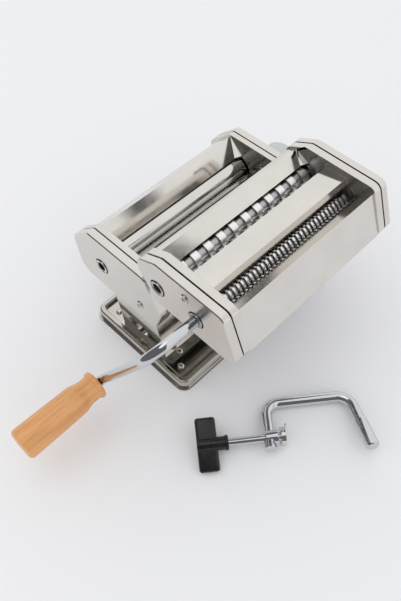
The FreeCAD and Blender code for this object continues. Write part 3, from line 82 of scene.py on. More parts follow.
Span = tuple[float, float]
Triple = tuple[float, float, float]
Profile = Sequence[Span]
Inputs = Mapping[str | int, object]
Mesh = bpy.types.Mesh
Thing = bpy.types.Object
Socket = bpy.types.NodeSocket

MM = 0.001
NOISE_MIDDLE = (0.3, 0.7)
SAME_SPOT = 0.0001 * MM
SIDES = ("left", "right")
PLACES = ("rear", "front")


class Lines(Enum):
    """How a metal's finest relief runs, as its noise's stretch on X, Y and Z."""

    ROUND_X = (1.0, 0.02, 0.02)
    NONE = (1.0, 1.0, 1.0)


class Nodes:
    """A node tree that is being filled."""

    def __init__(self, tree: bpy.types.NodeTree) -> None:
        """Take over a tree and empty it."""
        self.tree = tree
        tree.nodes.clear()

    def give(self, node: bpy.types.Node, inputs: Inputs) -> None:
        """Set a node's inputs to constants or feed them from sockets.

        Args:
            node: The node.
            inputs: The constant or the socket for each input, by its name or number.
        """
        for name, amount in inputs.items():
            if isinstance(amount, Socket):
                self.tree.links.new(amount, node.inputs[name])
            else:
                node.inputs[name].default_value = amount

    def add(self, kind: str, inputs: Inputs | None = None, **values: object) -> bpy.types.Node:
        """Add a node and set its plain properties, then its inputs.

        Args:
            kind: The node's type name.
            inputs: The constant or the socket for each input, by its name or number.
            **values: Properties of the node and their values.

        Returns:
            The new node.
        """
        node = self.tree.nodes.new(kind)
        for name, amount in values.items():
            setattr(node, name, amount)
        self.give(node, inputs or {})
        return node


class Surface(Nodes):
    """A material that is being made round one shader."""

    def __init__(self, name: str, kind: str = "ShaderNodeBsdfPrincipled") -> None:
        """Start a material that holds only its shader and output.

        Args:
            name: The material's name.
            kind: The shader's type name.
        """
        self.material = bpy.data.materials.new(name)
        self.material.use_nodes = True
        super().__init__(self.material.node_tree)
        self.shader = self.add(kind)
        self.add("ShaderNodeOutputMaterial", {"Surface": self.shader.outputs[0]})

    def dressed(self, inputs: Inputs) -> bpy.types.Material:
        """Set the shader's inputs and hand the material over.

        Args:
            inputs: The constant or the socket for each input, by its name.

        Returns:
            The finished material.
        """
        self.give(self.shader, inputs)
        return self.material

    def noise(self, cells: float, detail: float, stretch: Triple = Lines.NONE.value) -> Socket:
        """Add a noise on Object coordinates.

        Args:
            cells: Cells per metre.
            detail: Octaves of finer noise.
            stretch: Factors on the three coordinates.

        Returns:
            The noise's factor.
        """
        place = self.add("ShaderNodeTexCoord").outputs["Object"]
        spread = self.add("ShaderNodeMapping", {"Vector": place, "Scale": stretch})
        texture = self.add("ShaderNodeTexNoise", {"Vector": spread.outputs["Vector"],
                                                  "Scale": cells, "Detail": detail})
        return texture.outputs["Fac"]

    def ranged(self, socket: Socket, source: Span, target: Span = (0.0, 1.0)) -> Socket:
        """Map a value from one range to another.

        Args:
            socket: The value.
            source: Lowest and highest value that come in.
            target: The values that these become.

        Returns:
            The mapped value.
        """
        node = self.add("ShaderNodeMapRange", {"Value": socket, "From Min": source[0],
                                               "From Max": source[1], "To Min": target[0],
                                               "To Max": target[1]})
        return node.outputs["Result"]

    def blended(self, socket: Socket, colours: Sequence[tuple[float, Triple]]) -> Socket:
        """Turn a value into a colour by a ramp.

        Args:
            socket: The value.
            colours: Stops of the ramp, each a position and a linear colour.

        Returns:
            The colour.
        """
        ramp = self.add("ShaderNodeValToRGB", {"Fac": socket})
        stops = ramp.color_ramp.elements
        while len(stops) < len(colours):
            stops.new(1.0)
        for stop, (position, colour) in zip(stops, colours):
            stop.position = position
            stop.color = (*colour, 1.0)
        return ramp.outputs["Color"]

    def bumped(self, socket: Socket, depth: float, strength: float) -> Socket:
        """Turn a height into the surface's relief.

        Args:
            socket: The height.
            depth: Height of the relief in metres.
            strength: How strongly the relief shows.

        Returns:
            The normal that the shader takes.
        """
        bump = self.add("ShaderNodeBump", {"Height": socket, "Distance": depth,
                                           "Strength": strength})
        return bump.outputs["Normal"]


@dataclass(frozen=True)
class MetalFinish:
    """A bare or plated metal with handling marks and, where it is worked, fine lines."""

    name: str
    colour: Triple
    roughness: float
    smudge: float = 0.06
    tarnish: float = 0.06
    lines: Lines = Lines.NONE
    line_pitch: float = 0.35 * MM
    relief: float = 0.002 * MM
    least_roughness: float = 0.02
    tarnish_cells: float = 38.0
    smudge_cells: float = 90.0
    grain_cells: float = 900.0

    def build(self) -> bpy.types.Material:
        """Make the material.

        Returns:
            The material.
        """
        made = Surface(self.name)
        dull = tuple(channel * (1 - self.tarnish) for channel in self.colour)
        patches = made.noise(self.tarnish_cells, detail=3.0)
        low = max(self.roughness - self.smudge / 2, self.least_roughness)
        smudges = made.noise(self.smudge_cells, detail=5.0)
        worked = self.lines is Lines.ROUND_X
        cells, strength = (1 / self.line_pitch, 0.6) if worked else (self.grain_cells, 0.25)
        height = made.noise(cells, detail=2.0, stretch=self.lines.value)
        return made.dressed({
            "Metallic": 1.0,
            "Base Color": made.blended(patches, [(0.35, dull), (0.65, self.colour)]),
            "Roughness": made.ranged(smudges, NOISE_MIDDLE, (low, low + self.smudge)),
            "Normal": made.bumped(height, self.relief, strength)})


@dataclass(frozen=True)
class WoodFinish:
    """Varnished beech, its grain along X, with short dark flecks."""

    name: str
    light: Triple
    middle: Triple
    dark: Triple
    roughness: float
    grain_cells: float = 260.0
    grain_stretch: Triple = (0.10, 1.0, 1.0)
    fleck_cells: float = 1500.0
    fleck_stretch: Triple = (0.12, 1.0, 1.0)
    fleck_shade: float = 0.7
    fleck_depth: float = 0.05 * MM
    varnish: float = 0.25
    varnish_roughness: float = 0.22

    def build(self) -> bpy.types.Material:
        """Make the material.

        Returns:
            The material.
        """
        made = Surface(self.name)
        grain = made.noise(self.grain_cells, detail=6.0, stretch=self.grain_stretch)
        tones = [(0.30, self.dark), (0.48, self.middle), (0.68, self.light)]
        flecks = made.noise(self.fleck_cells, detail=2.0, stretch=self.fleck_stretch)
        mask = made.ranged(flecks, source=(0.62, 0.72), target=(0.0, 0.35))
        mix = made.add("ShaderNodeMix", {"Factor": mask}, data_type="RGBA")
        base, over = [n for n, socket in enumerate(mix.inputs) if socket.type == "RGBA"]
        shade = (*(channel * self.fleck_shade for channel in self.dark), 1.0)
        made.give(mix, {base: made.blended(grain, tones), over: shade})
        span = (self.roughness + 0.06, self.roughness)
        return made.dressed({
            "Base Color": next(socket for socket in mix.outputs if socket.type == "RGBA"),
            "Roughness": made.ranged(grain, NOISE_MIDDLE, span),
            "Coat Weight": self.varnish,
            "Coat Roughness": self.varnish_roughness,
            "Normal": made.bumped(flecks, self.fleck_depth, strength=0.2)})


@dataclass(frozen=True)
class MouldedFinish:
    """Moulded plastic or rubber with a fine grain and paler worn spots."""

    name: str
    colour: Triple
    roughness: float
    relief: float
    wear_cells: float = 120.0
    grain_cells: float = 2200.0

    def build(self) -> bpy.types.Material:
        """Make the material.

        Returns:
            The material.
        """
        made = Surface(self.name)
        pale = tuple(min(1.0, channel * 1.5 + 0.004) for channel in self.colour)
        wear = made.noise(self.wear_cells, detail=4.0)
        grain = made.noise(self.grain_cells, detail=2.0)
        span = (self.roughness - 0.06, self.roughness + 0.06)
        return made.dressed({
            "Base Color": made.blended(wear, [(0.45, self.colour), (0.8, pale)]),
            "Roughness": made.ranged(wear, NOISE_MIDDLE, span),
            "Normal": made.bumped(grain, self.relief, strength=0.4)})


@dataclass(frozen=True)
class RidgedFinish:
    """Cutter steel with shade painted into its grooves: darker nearer the cutter's axis, by the
    distance from it.
    """

    name: str
    y: float
    z: float
    core: float
    radius: float
    # Grey level of the shade painted at the core of the grooves.
    painted_groove_shade: float
    bright: Triple = (0.90, 0.89, 0.87)
    roughness: float = 0.34
    wear_cells: float = 400.0
    line_pitch: float = 0.35 * MM
    relief: float = 0.0006 * MM

    def build(self) -> bpy.types.Material:
        """Make the material.

        Returns:
            The material.
        """
        made = Surface(self.name)
        place = made.add("ShaderNodeTexCoord").outputs["Object"]
        centred = made.add("ShaderNodeMapping",
                           {"Vector": place, "Location": (0.0, -self.y, -self.z)})
        across = made.add("ShaderNodeVectorMath",
                          {0: centred.outputs["Vector"], 1: (0.0, 1.0, 1.0)},
                          operation="MULTIPLY")
        length = made.add("ShaderNodeVectorMath", {0: across.outputs["Vector"]},
                          operation="LENGTH")
        # Painted shade: the colour runs from dark at the core to bright at the ridge tops.
        level = made.ranged(length.outputs["Value"], (self.core, self.radius))
        stops = [(0.45, (self.painted_groove_shade,) * 3), (0.92, self.bright)]
        wear = made.noise(self.wear_cells, detail=3.0)
        span = (self.roughness - 0.04, self.roughness + 0.05)
        lines = made.noise(1 / self.line_pitch, detail=2.0, stretch=Lines.ROUND_X.value)
        return made.dressed({
            "Metallic": 1.0,
            "Base Color": made.blended(level, stops),
            "Roughness": made.ranged(wear, NOISE_MIDDLE, span),
            "Normal": made.bumped(lines, self.relief, strength=0.5)})


Finish = MetalFinish | WoodFinish | MouldedFinish | RidgedFinish

NICKEL = MetalFinish("nickel_plate", (0.735, 0.705, 0.665), 0.11, smudge=0.05, relief=0.0007 * MM)
# The tray's nickel: a darker copy of the plate nickel, as painted shade, with a little more
# tarnish.
SHADED_TRAY_NICKEL = MetalFinish("tray_nickel_painted_shade", (0.60, 0.565, 0.52), 0.10, smudge=0.05, tarnish=0.10,
                          relief=0.0007 * MM)
RIM_NICKEL = MetalFinish("brushed_nickel", (0.72, 0.69, 0.65), 0.24, smudge=0.03, tarnish=0.04,
                         lines=Lines.ROUND_X, line_pitch=0.5 * MM, relief=0.0012 * MM)
ROLLER_STEEL = MetalFinish("roller_steel", (0.70, 0.69, 0.67), 0.12, lines=Lines.ROUND_X,
                           relief=0.0006 * MM)
GEAR_STEEL = MetalFinish("gear_steel", (0.42, 0.41, 0.39), 0.32, tarnish=0.15)
# Comb and scraper steel, kept near black: partly the steel's own dark tone, partly painted shade in
# the grooves behind the cutters.
DARK_COMB_STEEL_AND_SHADE = MetalFinish("comb_steel", (0.10, 0.098, 0.094), 0.34)
BRIGHT_STEEL = MetalFinish("bright_steel", (0.72, 0.71, 0.69), 0.16)
CHROME = MetalFinish("chrome_plate", (0.62, 0.635, 0.66), 0.06, smudge=0.03, tarnish=0.03)
KNOB_METAL = MetalFinish("satin_aluminium", (0.60, 0.605, 0.615), 0.24, lines=Lines.ROUND_X)
BEECH = WoodFinish("varnished_beech", light=(0.80, 0.41, 0.155), middle=(0.75, 0.36, 0.13),
                   dark=(0.66, 0.295, 0.10), roughness=0.42)
BLACK_PLASTIC = MouldedFinish("black_plastic", (0.007, 0.007, 0.007), 0.30, 0.01 * MM)
# Near-black finish for the rings that paint the shadow in the gap round each drive ring.
GAP_SHADOW_BLACK = MouldedFinish("painted_gap_shadow", (0.006, 0.006, 0.006), 0.6, 0.01 * MM)
RUBBER = MouldedFinish("foot_rubber", (0.018, 0.018, 0.018), 0.75, 0.03 * MM)

BODY_OF = {node: body for body, nodes in frame["record"]["behaviour"]["bodies"].items()
           for node in nodes}


@cache
def material_of(finish: Finish) -> bpy.types.Material:
    """The material of a finish, made at its first use."""
    return finish.build()


def middle_of(node: str) -> Vector:
    """The middle of a CAD node's box."""
    low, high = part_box(node)
    return (low + high) / 2


def new_object(name: str, mesh: Mesh) -> Thing:
    """Link a mesh to the scene as an object at the origin.

    Args:
        name: The object's name.
        mesh: Its mesh.

    Returns:
        The object.
    """
    thing = bpy.data.objects.new(name, mesh)
    bpy.context.scene.collection.objects.link(thing)
    return thing


@contextmanager
def editing(mesh: Mesh) -> Iterator[bmesh.types.BMesh]:
    """Open a mesh for editing and write the result back at the end.

    Args:
        mesh: The mesh, which may still be empty.

    Yields:
        The mesh in its editable form.
    """
    work = bmesh.new()
    work.from_mesh(mesh)
    yield work
    work.to_mesh(mesh)
    work.free()


def settled(thing: Thing) -> Thing:
    """Turn an object's modifiers into its plain mesh.

    Args:
        thing: The object with live modifiers.

    Returns:
        The same object with the result as its mesh.
    """
    bpy.context.view_layer.update()
    result = thing.evaluated_get(bpy.context.evaluated_depsgraph_get())
    mesh = bpy.data.meshes.new_from_object(result)
    thing.modifiers.clear()
    thing.data = mesh
    return thing


def smoothed(mesh: Mesh, sharp: float = math.radians(32)) -> None:
    """Shade a mesh smooth, with sharp edges where its faces meet at more than an angle."""
    mesh.shade_smooth()
    mesh.set_sharp_from_angle(angle=sharp)


def fitted(thing: Thing, finish: Finish, node: str) -> None:
    """Dress a piece, let it stand for its CAD node and ride on the node's body.

    Args:
        thing: The finished piece.
        finish: The piece's finish.
        node: The CAD node that it replaces.
    """
    thing.data.materials.clear()
    thing.data.materials.append(material_of(finish))
    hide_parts(node)
    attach(thing, BODY_OF[node])
    log.info("%s: %d faces on %s", thing.name, len(thing.data.polygons), BODY_OF[node])


def kept(node: str, finish: Finish) -> None:
    """Give a CAD node that stays its better material.

    Args:
        node: The CAD node.
        finish: Its finish.
    """
    materials = frame["nodes"][node].data.materials
    materials.clear()
    materials.append(material_of(finish))
    log.info("%s: kept, in %s", node, finish.name)


def merged_copy(node: str) -> Mesh:
    """Copy a CAD node's mesh with its loose triangles joined into flat faces.

    Args:
        node: The CAD node.

    Returns:
        The copy.
    """
    mesh = frame["nodes"][node].data.copy()
    with editing(mesh) as work:
        bmesh.ops.remove_doubles(work, verts=work.verts, dist=0.002 * MM)
        bmesh.ops.dissolve_limit(work, angle_limit=math.radians(0.8), verts=work.verts,
                                 edges=work.edges)
    return mesh


def keep_inside(mesh: Mesh, low: float) -> None:
    """Delete the islands of a mesh that reach past a lowest X.

    Args:
        mesh: The mesh.
        low: The lowest X that stays.
    """
    with editing(mesh) as work:
        left = set(work.verts)
        gone = []
        while left:
            island = {left.pop()}
            edge = set(island)
            while edge:
                edge = {link.other_vert(vert) for vert in edge for link in vert.link_edges} - island
                island |= edge
            left -= island
            if min(vert.co.x for vert in island) < low:
                gone += island
        bmesh.ops.delete(work, geom=gone, context="VERTS")


def round_outline(mesh: Mesh, cut: float, steps: int = 4) -> None:
    """Round the outward corners of a plate whose outline runs round the X axis.

    Args:
        mesh: The plate's mesh.
        cut: Length taken off each side of a corner.
        steps: Faces across a rounded corner.
    """
    least_turn = math.radians(12)
    along_x = 0.999
    with editing(mesh) as work:
        corners = [edge for edge in work.edges
                   if len(edge.link_faces) == 2 and edge.is_convex
                   and edge.calc_face_angle() > least_turn
                   and abs((edge.verts[1].co - edge.verts[0].co).normalized().x) > along_x]
        bmesh.ops.bevel(work, geom=corners, offset=cut, segments=steps, profile=0.5, affect="EDGES",
                        clamp_overlap=True)


def refined(name: str, node: str, finish: Finish, edge: float, rounds: int = 2,
            corner: float = 0.0) -> Thing:
    """Copy a CAD node with its edges rounded as pressing or moulding leaves them.

    Args:
        name: Name of the new piece.
        node: The CAD node that is copied and replaced.
        finish: The piece's finish.
        edge: Width of the rounded edges.
        rounds: Faces across a rounded edge.
        corner: Length taken off each side of the outline's corners.

    Returns:
        The piece.
    """
    thing = new_object(name, merged_copy(node))
    if corner > 0:
        round_outline(thing.data, corner)
    if edge > 0:
        bevel = thing.modifiers.new("edges", "BEVEL")
        bevel.width = edge
        bevel.segments = rounds
        bevel.limit_method = "ANGLE"
        bevel.angle_limit = math.radians(34)
        bevel.use_clamp_overlap = True
        bevel.miter_outer = "MITER_ARC"
        settled(thing)
    smoothed(thing.data)
    flat = thing.modifiers.new("flat_faces", "WEIGHTED_NORMAL")
    flat.mode = "FACE_AREA"
    flat.weight = 100
    flat.keep_sharp = True
    fitted(settled(thing), finish, node)
    return thing


def turned(profile: Profile, sides: int) -> Mesh:
    """Turn an outline round the X axis into a closed mesh.

    Args:
        profile: Pairs of place along X and radius. A closed outline repeats its first point.
        sides: Faces round the axis.

    Returns:
        The mesh.
    """
    mesh = bpy.data.meshes.new("turned")
    angles = [2 * math.pi * k / sides for k in range(sides)]
    with editing(mesh) as work:
        rings = [[work.verts.new((x, 0, 0))] if radius < SAME_SPOT else
                 [work.verts.new((x, radius * math.cos(a), radius * math.sin(a))) for a in angles]
                 for x, radius in profile]
        for near, far in zip(rings, rings[1:]):
            for k in range(sides):
                after = (k + 1) % sides
                corners = {id(v): v for v in (near[k % len(near)], near[after % len(near)],
                                              far[after % len(far)], far[k % len(far)])}
                if len(corners) > 2:
                    work.faces.new(corners.values())
        bmesh.ops.remove_doubles(work, verts=work.verts, dist=SAME_SPOT)
        bmesh.ops.recalc_face_normals(work, faces=work.faces)
    return mesh


def rounded_profile(points: Sequence[Triple], steps: int = 5) -> Profile:
    """Round the corners of an outline of places and radii.

    Args:
        points: Place, radius and corner rounding of each point. The rounding is the length
            that is taken off each of the two edges.
        steps: Points across a rounded corner.

    Returns:
        The outline with its corners replaced by curves.
    """
    spots = [Vector((x, r)) for x, r, _ in points]
    outline = [tuple(spots[0])]
    for before, corner, after, (_, _, cut) in zip(spots, spots[1:], spots[2:], points[1:-1]):
        if cut <= 0:
            outline.append(tuple(corner))
            continue
        start = corner + (before - corner).normalized() * cut
        end = corner + (after - corner).normalized() * cut
        for k in range(steps + 1):
            t = k / steps
            outline.append(tuple(start.lerp(corner, t).lerp(corner.lerp(end, t), t)))
    outline.append(tuple(spots[-1]))
    return outline


def set_at(name: str, mesh: Mesh, place: Matrix) -> Thing:
    """Move a mesh to its place and make it a smooth object at the origin.

    Args:
        name: The object's name.
        mesh: The mesh.
        place: Where the mesh goes.

    Returns:
        The object.
    """
    mesh.transform(place)
    smoothed(mesh)
    return new_object(name, mesh)


def block(size: Vector, place: Matrix, edge: float = 0.0) -> Mesh:
    """Make a block with its edges rounded.

    Args:
        size: The block's three sizes.
        place: Where its middle lies and how it is turned.
        edge: Width of the rounded edges.

    Returns:
        The mesh.
    """
    mesh = bpy.data.meshes.new("block")
    with editing(mesh) as work:
        bmesh.ops.create_cube(work, size=1.0, matrix=place @ Matrix.Diagonal((*size, 1.0)))
        if edge > 0:
            bmesh.ops.bevel(work, geom=list(work.edges), offset=edge, segments=5, profile=0.5,
                            affect="EDGES", clamp_overlap=True)
    return mesh


def merged(name: str, things: Sequence[Thing]) -> Thing:
    """Join several objects into one new object.

    Args:
        name: Name of the new object.
        things: The objects, which are used up.

    Returns:
        The new object.
    """
    mesh = bpy.data.meshes.new(name)
    with editing(mesh) as work:
        for thing in things:
            work.from_mesh(thing.data)
            bpy.data.objects.remove(thing)
    return new_object(name, mesh)


class Tree(Nodes):
    """A Geometry Nodes tree with named inputs, which ends in real geometry and a material."""

    def __init__(self, name: str, **inputs: str) -> None:
        """Start a tree.

        Args:
            name: The tree's name.
            **inputs: Socket type of each input after the geometry, by the input's name.
        """
        super().__init__(bpy.data.node_groups.new(name, "GeometryNodeTree"))
        face = self.tree.interface
        geometry = "NodeSocketGeometry"
        inputs["Material"] = "NodeSocketMaterial"
        face.new_socket("Geometry", in_out="INPUT", socket_type=geometry)
        self.ids = {label: face.new_socket(label, in_out="INPUT", socket_type=kind).identifier
                    for label, kind in inputs.items()}
        face.new_socket("Geometry", in_out="OUTPUT", socket_type=geometry)
        self.entry = self.add("NodeGroupInput").outputs

    def end(self, geometry: Socket) -> None:
        """Close the tree with Realize Instances and Set Material.

        Args:
            geometry: The geometry that comes out.
        """
        real = self.add("GeometryNodeRealizeInstances", {"Geometry": geometry})
        dress = self.add("GeometryNodeSetMaterial", {"Geometry": real.outputs["Geometry"],
                                                     "Material": self.entry["Material"]})
        self.add("NodeGroupOutput", {"Geometry": dress.outputs["Geometry"]})

    def run(self, thing: Thing, finish: Finish, **values: object) -> Thing:
        """Apply the tree to an object.

        Args:
            thing: The object whose mesh goes in.
            finish: The finish of the result.
            **values: The other inputs, by name.

        Returns:
            The object with the result as its plain mesh.
        """
        modifier = thing.modifiers.new("tree", "NODES")
        modifier.node_group = self.tree
        modifier[self.ids["Material"]] = material_of(finish)
        for label, amount in values.items():
            modifier[self.ids[label]] = amount
        return settled(thing)


def row_tree() -> Tree:
    """Make the tree that repeats a ridge along X.

    Returns:
        The tree.
    """
    made = Tree("row_along_rollers", Count="NodeSocketInt", Pitch="NodeSocketFloat",
                Start="NodeSocketVector")
    step = made.add("ShaderNodeCombineXYZ", {"X": made.entry["Pitch"]})
    line = made.add("GeometryNodeMeshLine",
                    {"Count": made.entry["Count"], "Start Location": made.entry["Start"],
                     "Offset": step.outputs["Vector"]}, mode="OFFSET")
    copies = made.add("GeometryNodeInstanceOnPoints",
                      {"Points": line.outputs["Mesh"], "Instance": made.entry["Geometry"]})
    made.end(copies.outputs["Instances"])
    return made


def spots_tree() -> Tree:
    """Make the tree that sets a small part on each point, its Z along the point's facing.

    Returns:
        The tree.
    """
    made = Tree("parts_on_spots", Spots="NodeSocketObject")
    source = made.add("GeometryNodeObjectInfo", {"Object": made.entry["Spots"]})
    facing = made.add("GeometryNodeInputNamedAttribute", {"Name": "facing"},
                      data_type="FLOAT_VECTOR")
    direction = next(socket for socket in facing.outputs if socket.type == "VECTOR")
    aligned = made.add("FunctionNodeAlignRotationToVector", {"Vector": direction}, axis="Z")
    copies = made.add("GeometryNodeInstanceOnPoints",
                      {"Points": source.outputs["Geometry"],
                       "Rotation": aligned.outputs["Rotation"],
                       "Instance": made.entry["Geometry"]})
    made.end(copies.outputs["Instances"])
    return made


def rod_tree() -> Tree:
    """Make the tree that lays a round rod along a bent path.

    Returns:
        The tree.
    """
    made = Tree("rod_along_path", Radius="NodeSocketFloat", Sides="NodeSocketInt")
    path = made.add("GeometryNodeMeshToCurve", {"Mesh": made.entry["Geometry"]})
    ring = made.add("GeometryNodeCurvePrimitiveCircle",
                    {"Resolution": made.entry["Sides"], "Radius": made.entry["Radius"]})
    sweep = made.add("GeometryNodeCurveToMesh",
                     {"Curve": path.outputs["Curve"], "Profile Curve": ring.outputs["Curve"],
                      "Fill Caps": True})
    made.end(sweep.outputs["Mesh"])
    return made


ROW = row_tree()
SPOTS = spots_tree()
ROD = rod_tree()
ROD_SIDES = 40


def set_on_spots(name: str, part: Mesh, spots: Sequence[tuple[Vector, Vector]], node: str) -> None:
    """Set a small bright part on several spots, in place of a CAD node.

    Args:
        name: Name of the new piece.
        part: The part's mesh, which stands on Z = 0 and faces +Z.
        spots: Place and outward direction of each copy.
        node: The CAD node that the copies replace.
    """
    mesh = bpy.data.meshes.new("spots")
    mesh.from_pydata([place for place, _ in spots], [], [])
    facing = mesh.attributes.new("facing", "FLOAT_VECTOR", "POINT")
    for entry, (_, direction) in zip(facing.data, spots):
        entry.vector = direction
    places = new_object("spots", mesh)
    thing = SPOTS.run(new_object(name, part), BRIGHT_STEEL, Spots=places)
    bpy.data.objects.remove(places)
    smoothed(thing.data)
    fitted(thing, BRIGHT_STEEL, node)


def bent_rod(radius: float, corners: Sequence[Vector], bends: Sequence[float],
             steps: int = 14) -> Thing:
    """Make a round chrome rod of straight runs joined by arcs.

    Args:
        radius: The rod's radius.
        corners: The path's two ends with the corners between them.
        bends: Radius of the arc at each corner.
        steps: Points along each arc.

    Returns:
        The rod, not dressed yet.
    """
    points = [corners[0]]
    for before, corner, after, bend in zip(corners, corners[1:], corners[2:], bends):
        back = (before - corner).normalized()
        ahead = (after - corner).normalized()
        half = back.angle(ahead) / 2
        centre = corner + (back + ahead).normalized() * bend / math.sin(half)
        start = corner + back * bend / math.tan(half) - centre
        end = corner + ahead * bend / math.tan(half) - centre
        axis, angle = start.rotation_difference(end).to_axis_angle()
        points += [centre + Matrix.Rotation(angle * k / steps, 3, axis) @ start
                   for k in range(steps + 1)]
    points.append(corners[-1])
    mesh = bpy.data.meshes.new("path")
    mesh.from_pydata(points, [(k, k + 1) for k in range(len(points) - 1)], [])
    return ROD.run(new_object("rod", mesh), CHROME, Radius=radius, Sides=ROD_SIDES)


@dataclass
class Base:
    """The tray with its feet and rivets, and the stand on it.

    The ridge's drop is how many edge widths below its top the inner wall's flat part ends.
    """

    foot_edge: float = 1.2 * MM
    foot_half: float = 7.0 * MM
    stand_edge: float = 0.4 * MM
    rivet_radius: float = 3.2 * MM
    rivet_rise: float = 1.6 * MM
    rivet_root: float = 0.2 * MM
    lip_width: float = 2.0 * MM
    lip_height: float = 1.6 * MM
    lip_corner: float = 10.0 * MM
    lip_round: float = 0.5 * MM
    rim_round: float = 0.25 * MM
    least_corner: float = 2.0 * MM
    corner_shrink: float = 0.8
    corner_steps: int = 10
    ridge_width: float = 5.4 * MM
    ridge_edge: float = 1.6 * MM
    ridge_steps: int = 4
    ridge_drop: float = 1.2
    recess_floor: float = 8.0 * MM
    wall: float = 0.9 * MM
    flange_x: float = 68.6 * MM
    flange_y: float = -30.4 * MM

    def rivet_head(self) -> Mesh:
        """Make a domed rivet head that stands on Z = 0.

        Returns:
            The mesh.
        """
        steps = 6
        dome = [(self.rivet_rise * math.sin(angle), self.rivet_radius * math.cos(angle))
                for angle in (math.pi / 2 * k / steps for k in range(steps))]
        root = [(-self.rivet_root, 0), (-self.rivet_root, self.rivet_radius)]
        mesh = turned([*root, *dome, (self.rivet_rise, 0)], sides=28)
        mesh.transform(Matrix.Rotation(-math.pi / 2, 4, "Y"))
        return mesh

    def section(self, top: float, bottom: float) -> Profile:
        """Outline the tray's sheet from its floor over the ridge to the lip and back under.

        Args:
            top: Height of the ridge.
            bottom: Height of the lip's lower edge.

        Returns:
            Pairs of inset from the tray's edge and height.
        """
        lip, edge, wall = self.lip_width, self.ridge_edge, self.wall
        out = lip + self.ridge_width
        turns = [math.pi / 2 * k / self.ridge_steps for k in range(self.ridge_steps + 1)]
        return [(out, self.recess_floor), (out, top - self.ridge_drop * edge),
                *((out - edge * (1 - math.cos(a)), top - edge * (1 - math.sin(a))) for a in turns),
                *((lip + edge * (1 - math.sin(a)), top - edge * (1 - math.cos(a))) for a in turns),
                (lip, self.lip_height + self.lip_round), (lip - self.lip_round, self.lip_height),
                (self.rim_round, self.lip_height), (0.0, self.lip_height - self.rim_round),
                (0.0, bottom), (lip + wall, bottom), (lip + wall, top - wall),
                (out - wall, top - wall), (out - wall, self.recess_floor - wall)]

    def tray(self) -> Thing:
        """Press the tray: a lip, a rounded ridge and a sunk floor, as one thin closed shell.

        Returns:
            The tray, not dressed yet.
        """
        low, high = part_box("base_tray")
        mesh = bpy.data.meshes.new("tray")
        quarters = ((1, 1), (-1, 1), (-1, -1), (1, -1))
        with editing(mesh) as work:
            rings = []
            for inset, z in self.section(high.z, low.z):
                radius = max(self.lip_corner - inset * self.corner_shrink, self.least_corner)
                straight_x = high.x - inset - radius
                straight_y = high.y - inset - radius
                ring = []
                for quarter, (side_x, side_y) in enumerate(quarters):
                    for k in range(self.corner_steps + 1):
                        angle = math.pi / 2 * quarter + math.pi / 2 * k / self.corner_steps
                        x = side_x * straight_x + radius * math.cos(angle)
                        y = side_y * straight_y + radius * math.sin(angle)
                        ring.append(work.verts.new((x, y, z)))
                rings.append(ring)
            count = len(rings[0])
            for near, far in zip(rings, rings[1:]):
                for k in range(count):
                    after = (k + 1) % count
                    work.faces.new((near[k], near[after], far[after], far[k]))
            work.faces.new(rings[0])
            work.faces.new(rings[-1])
            bmesh.ops.recalc_face_normals(work, faces=work.faces)
        smoothed(mesh, sharp=math.radians(40))
        return new_object("pressed_tray", mesh)

    def rivets(self) -> None:
        """Set rivets over the feet and on the stand's front flange."""
        low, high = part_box("base_feet")
        up = Vector((0, 0, 1))
        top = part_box("base_rivets")[1].z
        spots = [(Vector((x, y, self.recess_floor)), up)
                 for x in (low.x + self.foot_half, high.x - self.foot_half)
                 for y in (low.y + self.foot_half, high.y - self.foot_half)]
        spots += [(Vector((x, self.flange_y, top - self.rivet_rise)), up)
                  for x in (-self.flange_x, self.flange_x)]
        set_on_spots("rivet_heads", self.rivet_head(), spots, "base_rivets")

    def build(self) -> None:
        """Make and dress the base."""
        # The tray takes the darker copy of the nickel: painted shade.
        fitted(self.tray(), SHADED_TRAY_NICKEL, "base_tray")
        refined("rubber_feet", "base_feet", RUBBER, self.foot_edge)
        refined("folded_stand", "stand", NICKEL, self.stand_edge)
        self.rivets()


@dataclass
class ScrewHead:
    """A low round screw head with a cross slot."""

    radius: float = 4.0 * MM
    rise: float = 1.1 * MM
    root: float = 0.1 * MM
    edge: float = 0.8 * MM
    slot_width: float = 0.9 * MM
    slot_length: float = 4.6 * MM
    slot_depth: float = 0.7 * MM

    def build(self) -> Mesh:
        """Make the head, which stands on Z = 0.

        Returns:
            The mesh.
        """
        body = turned(rounded_profile([
            (-self.root, 0, 0), (-self.root, self.radius, 0), (self.rise, self.radius, self.edge),
            (self.rise, 0, 0)]), sides=32)
        body.transform(Matrix.Rotation(-math.pi / 2, 4, "Y"))
        head = new_object("screw_blank", body)
        size = Vector((self.slot_length, self.slot_width, 2 * self.slot_depth))
        for turn in (0.0, math.pi / 2):
            place = Matrix.Translation((0, 0, self.rise)) @ Matrix.Rotation(turn, 4, "Z")
            slot = new_object("slot_cutter", block(size, place))
            cut = head.modifiers.new("slot", "BOOLEAN")
            cut.operation = "DIFFERENCE"
            cut.solver = "EXACT"
            cut.object = slot
            settled(head)
            bpy.data.objects.remove(slot)
        mesh = head.data
        bpy.data.objects.remove(head)
        return mesh

    def on(self, node: str, name: str) -> None:
        """Set a screw on each side where a CAD node has its plain heads.

        Args:
            node: The CAD node with one head on each cover.
            name: Name of the new piece.
        """
        low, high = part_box(node)
        middle = middle_of(node)
        spots = [(Vector((x, middle.y, middle.z)), Vector((side, 0, 0)))
                 for x, side in ((low.x + self.rise, -1), (high.x - self.rise, 1))]
        set_on_spots(name, self.build(), spots, node)


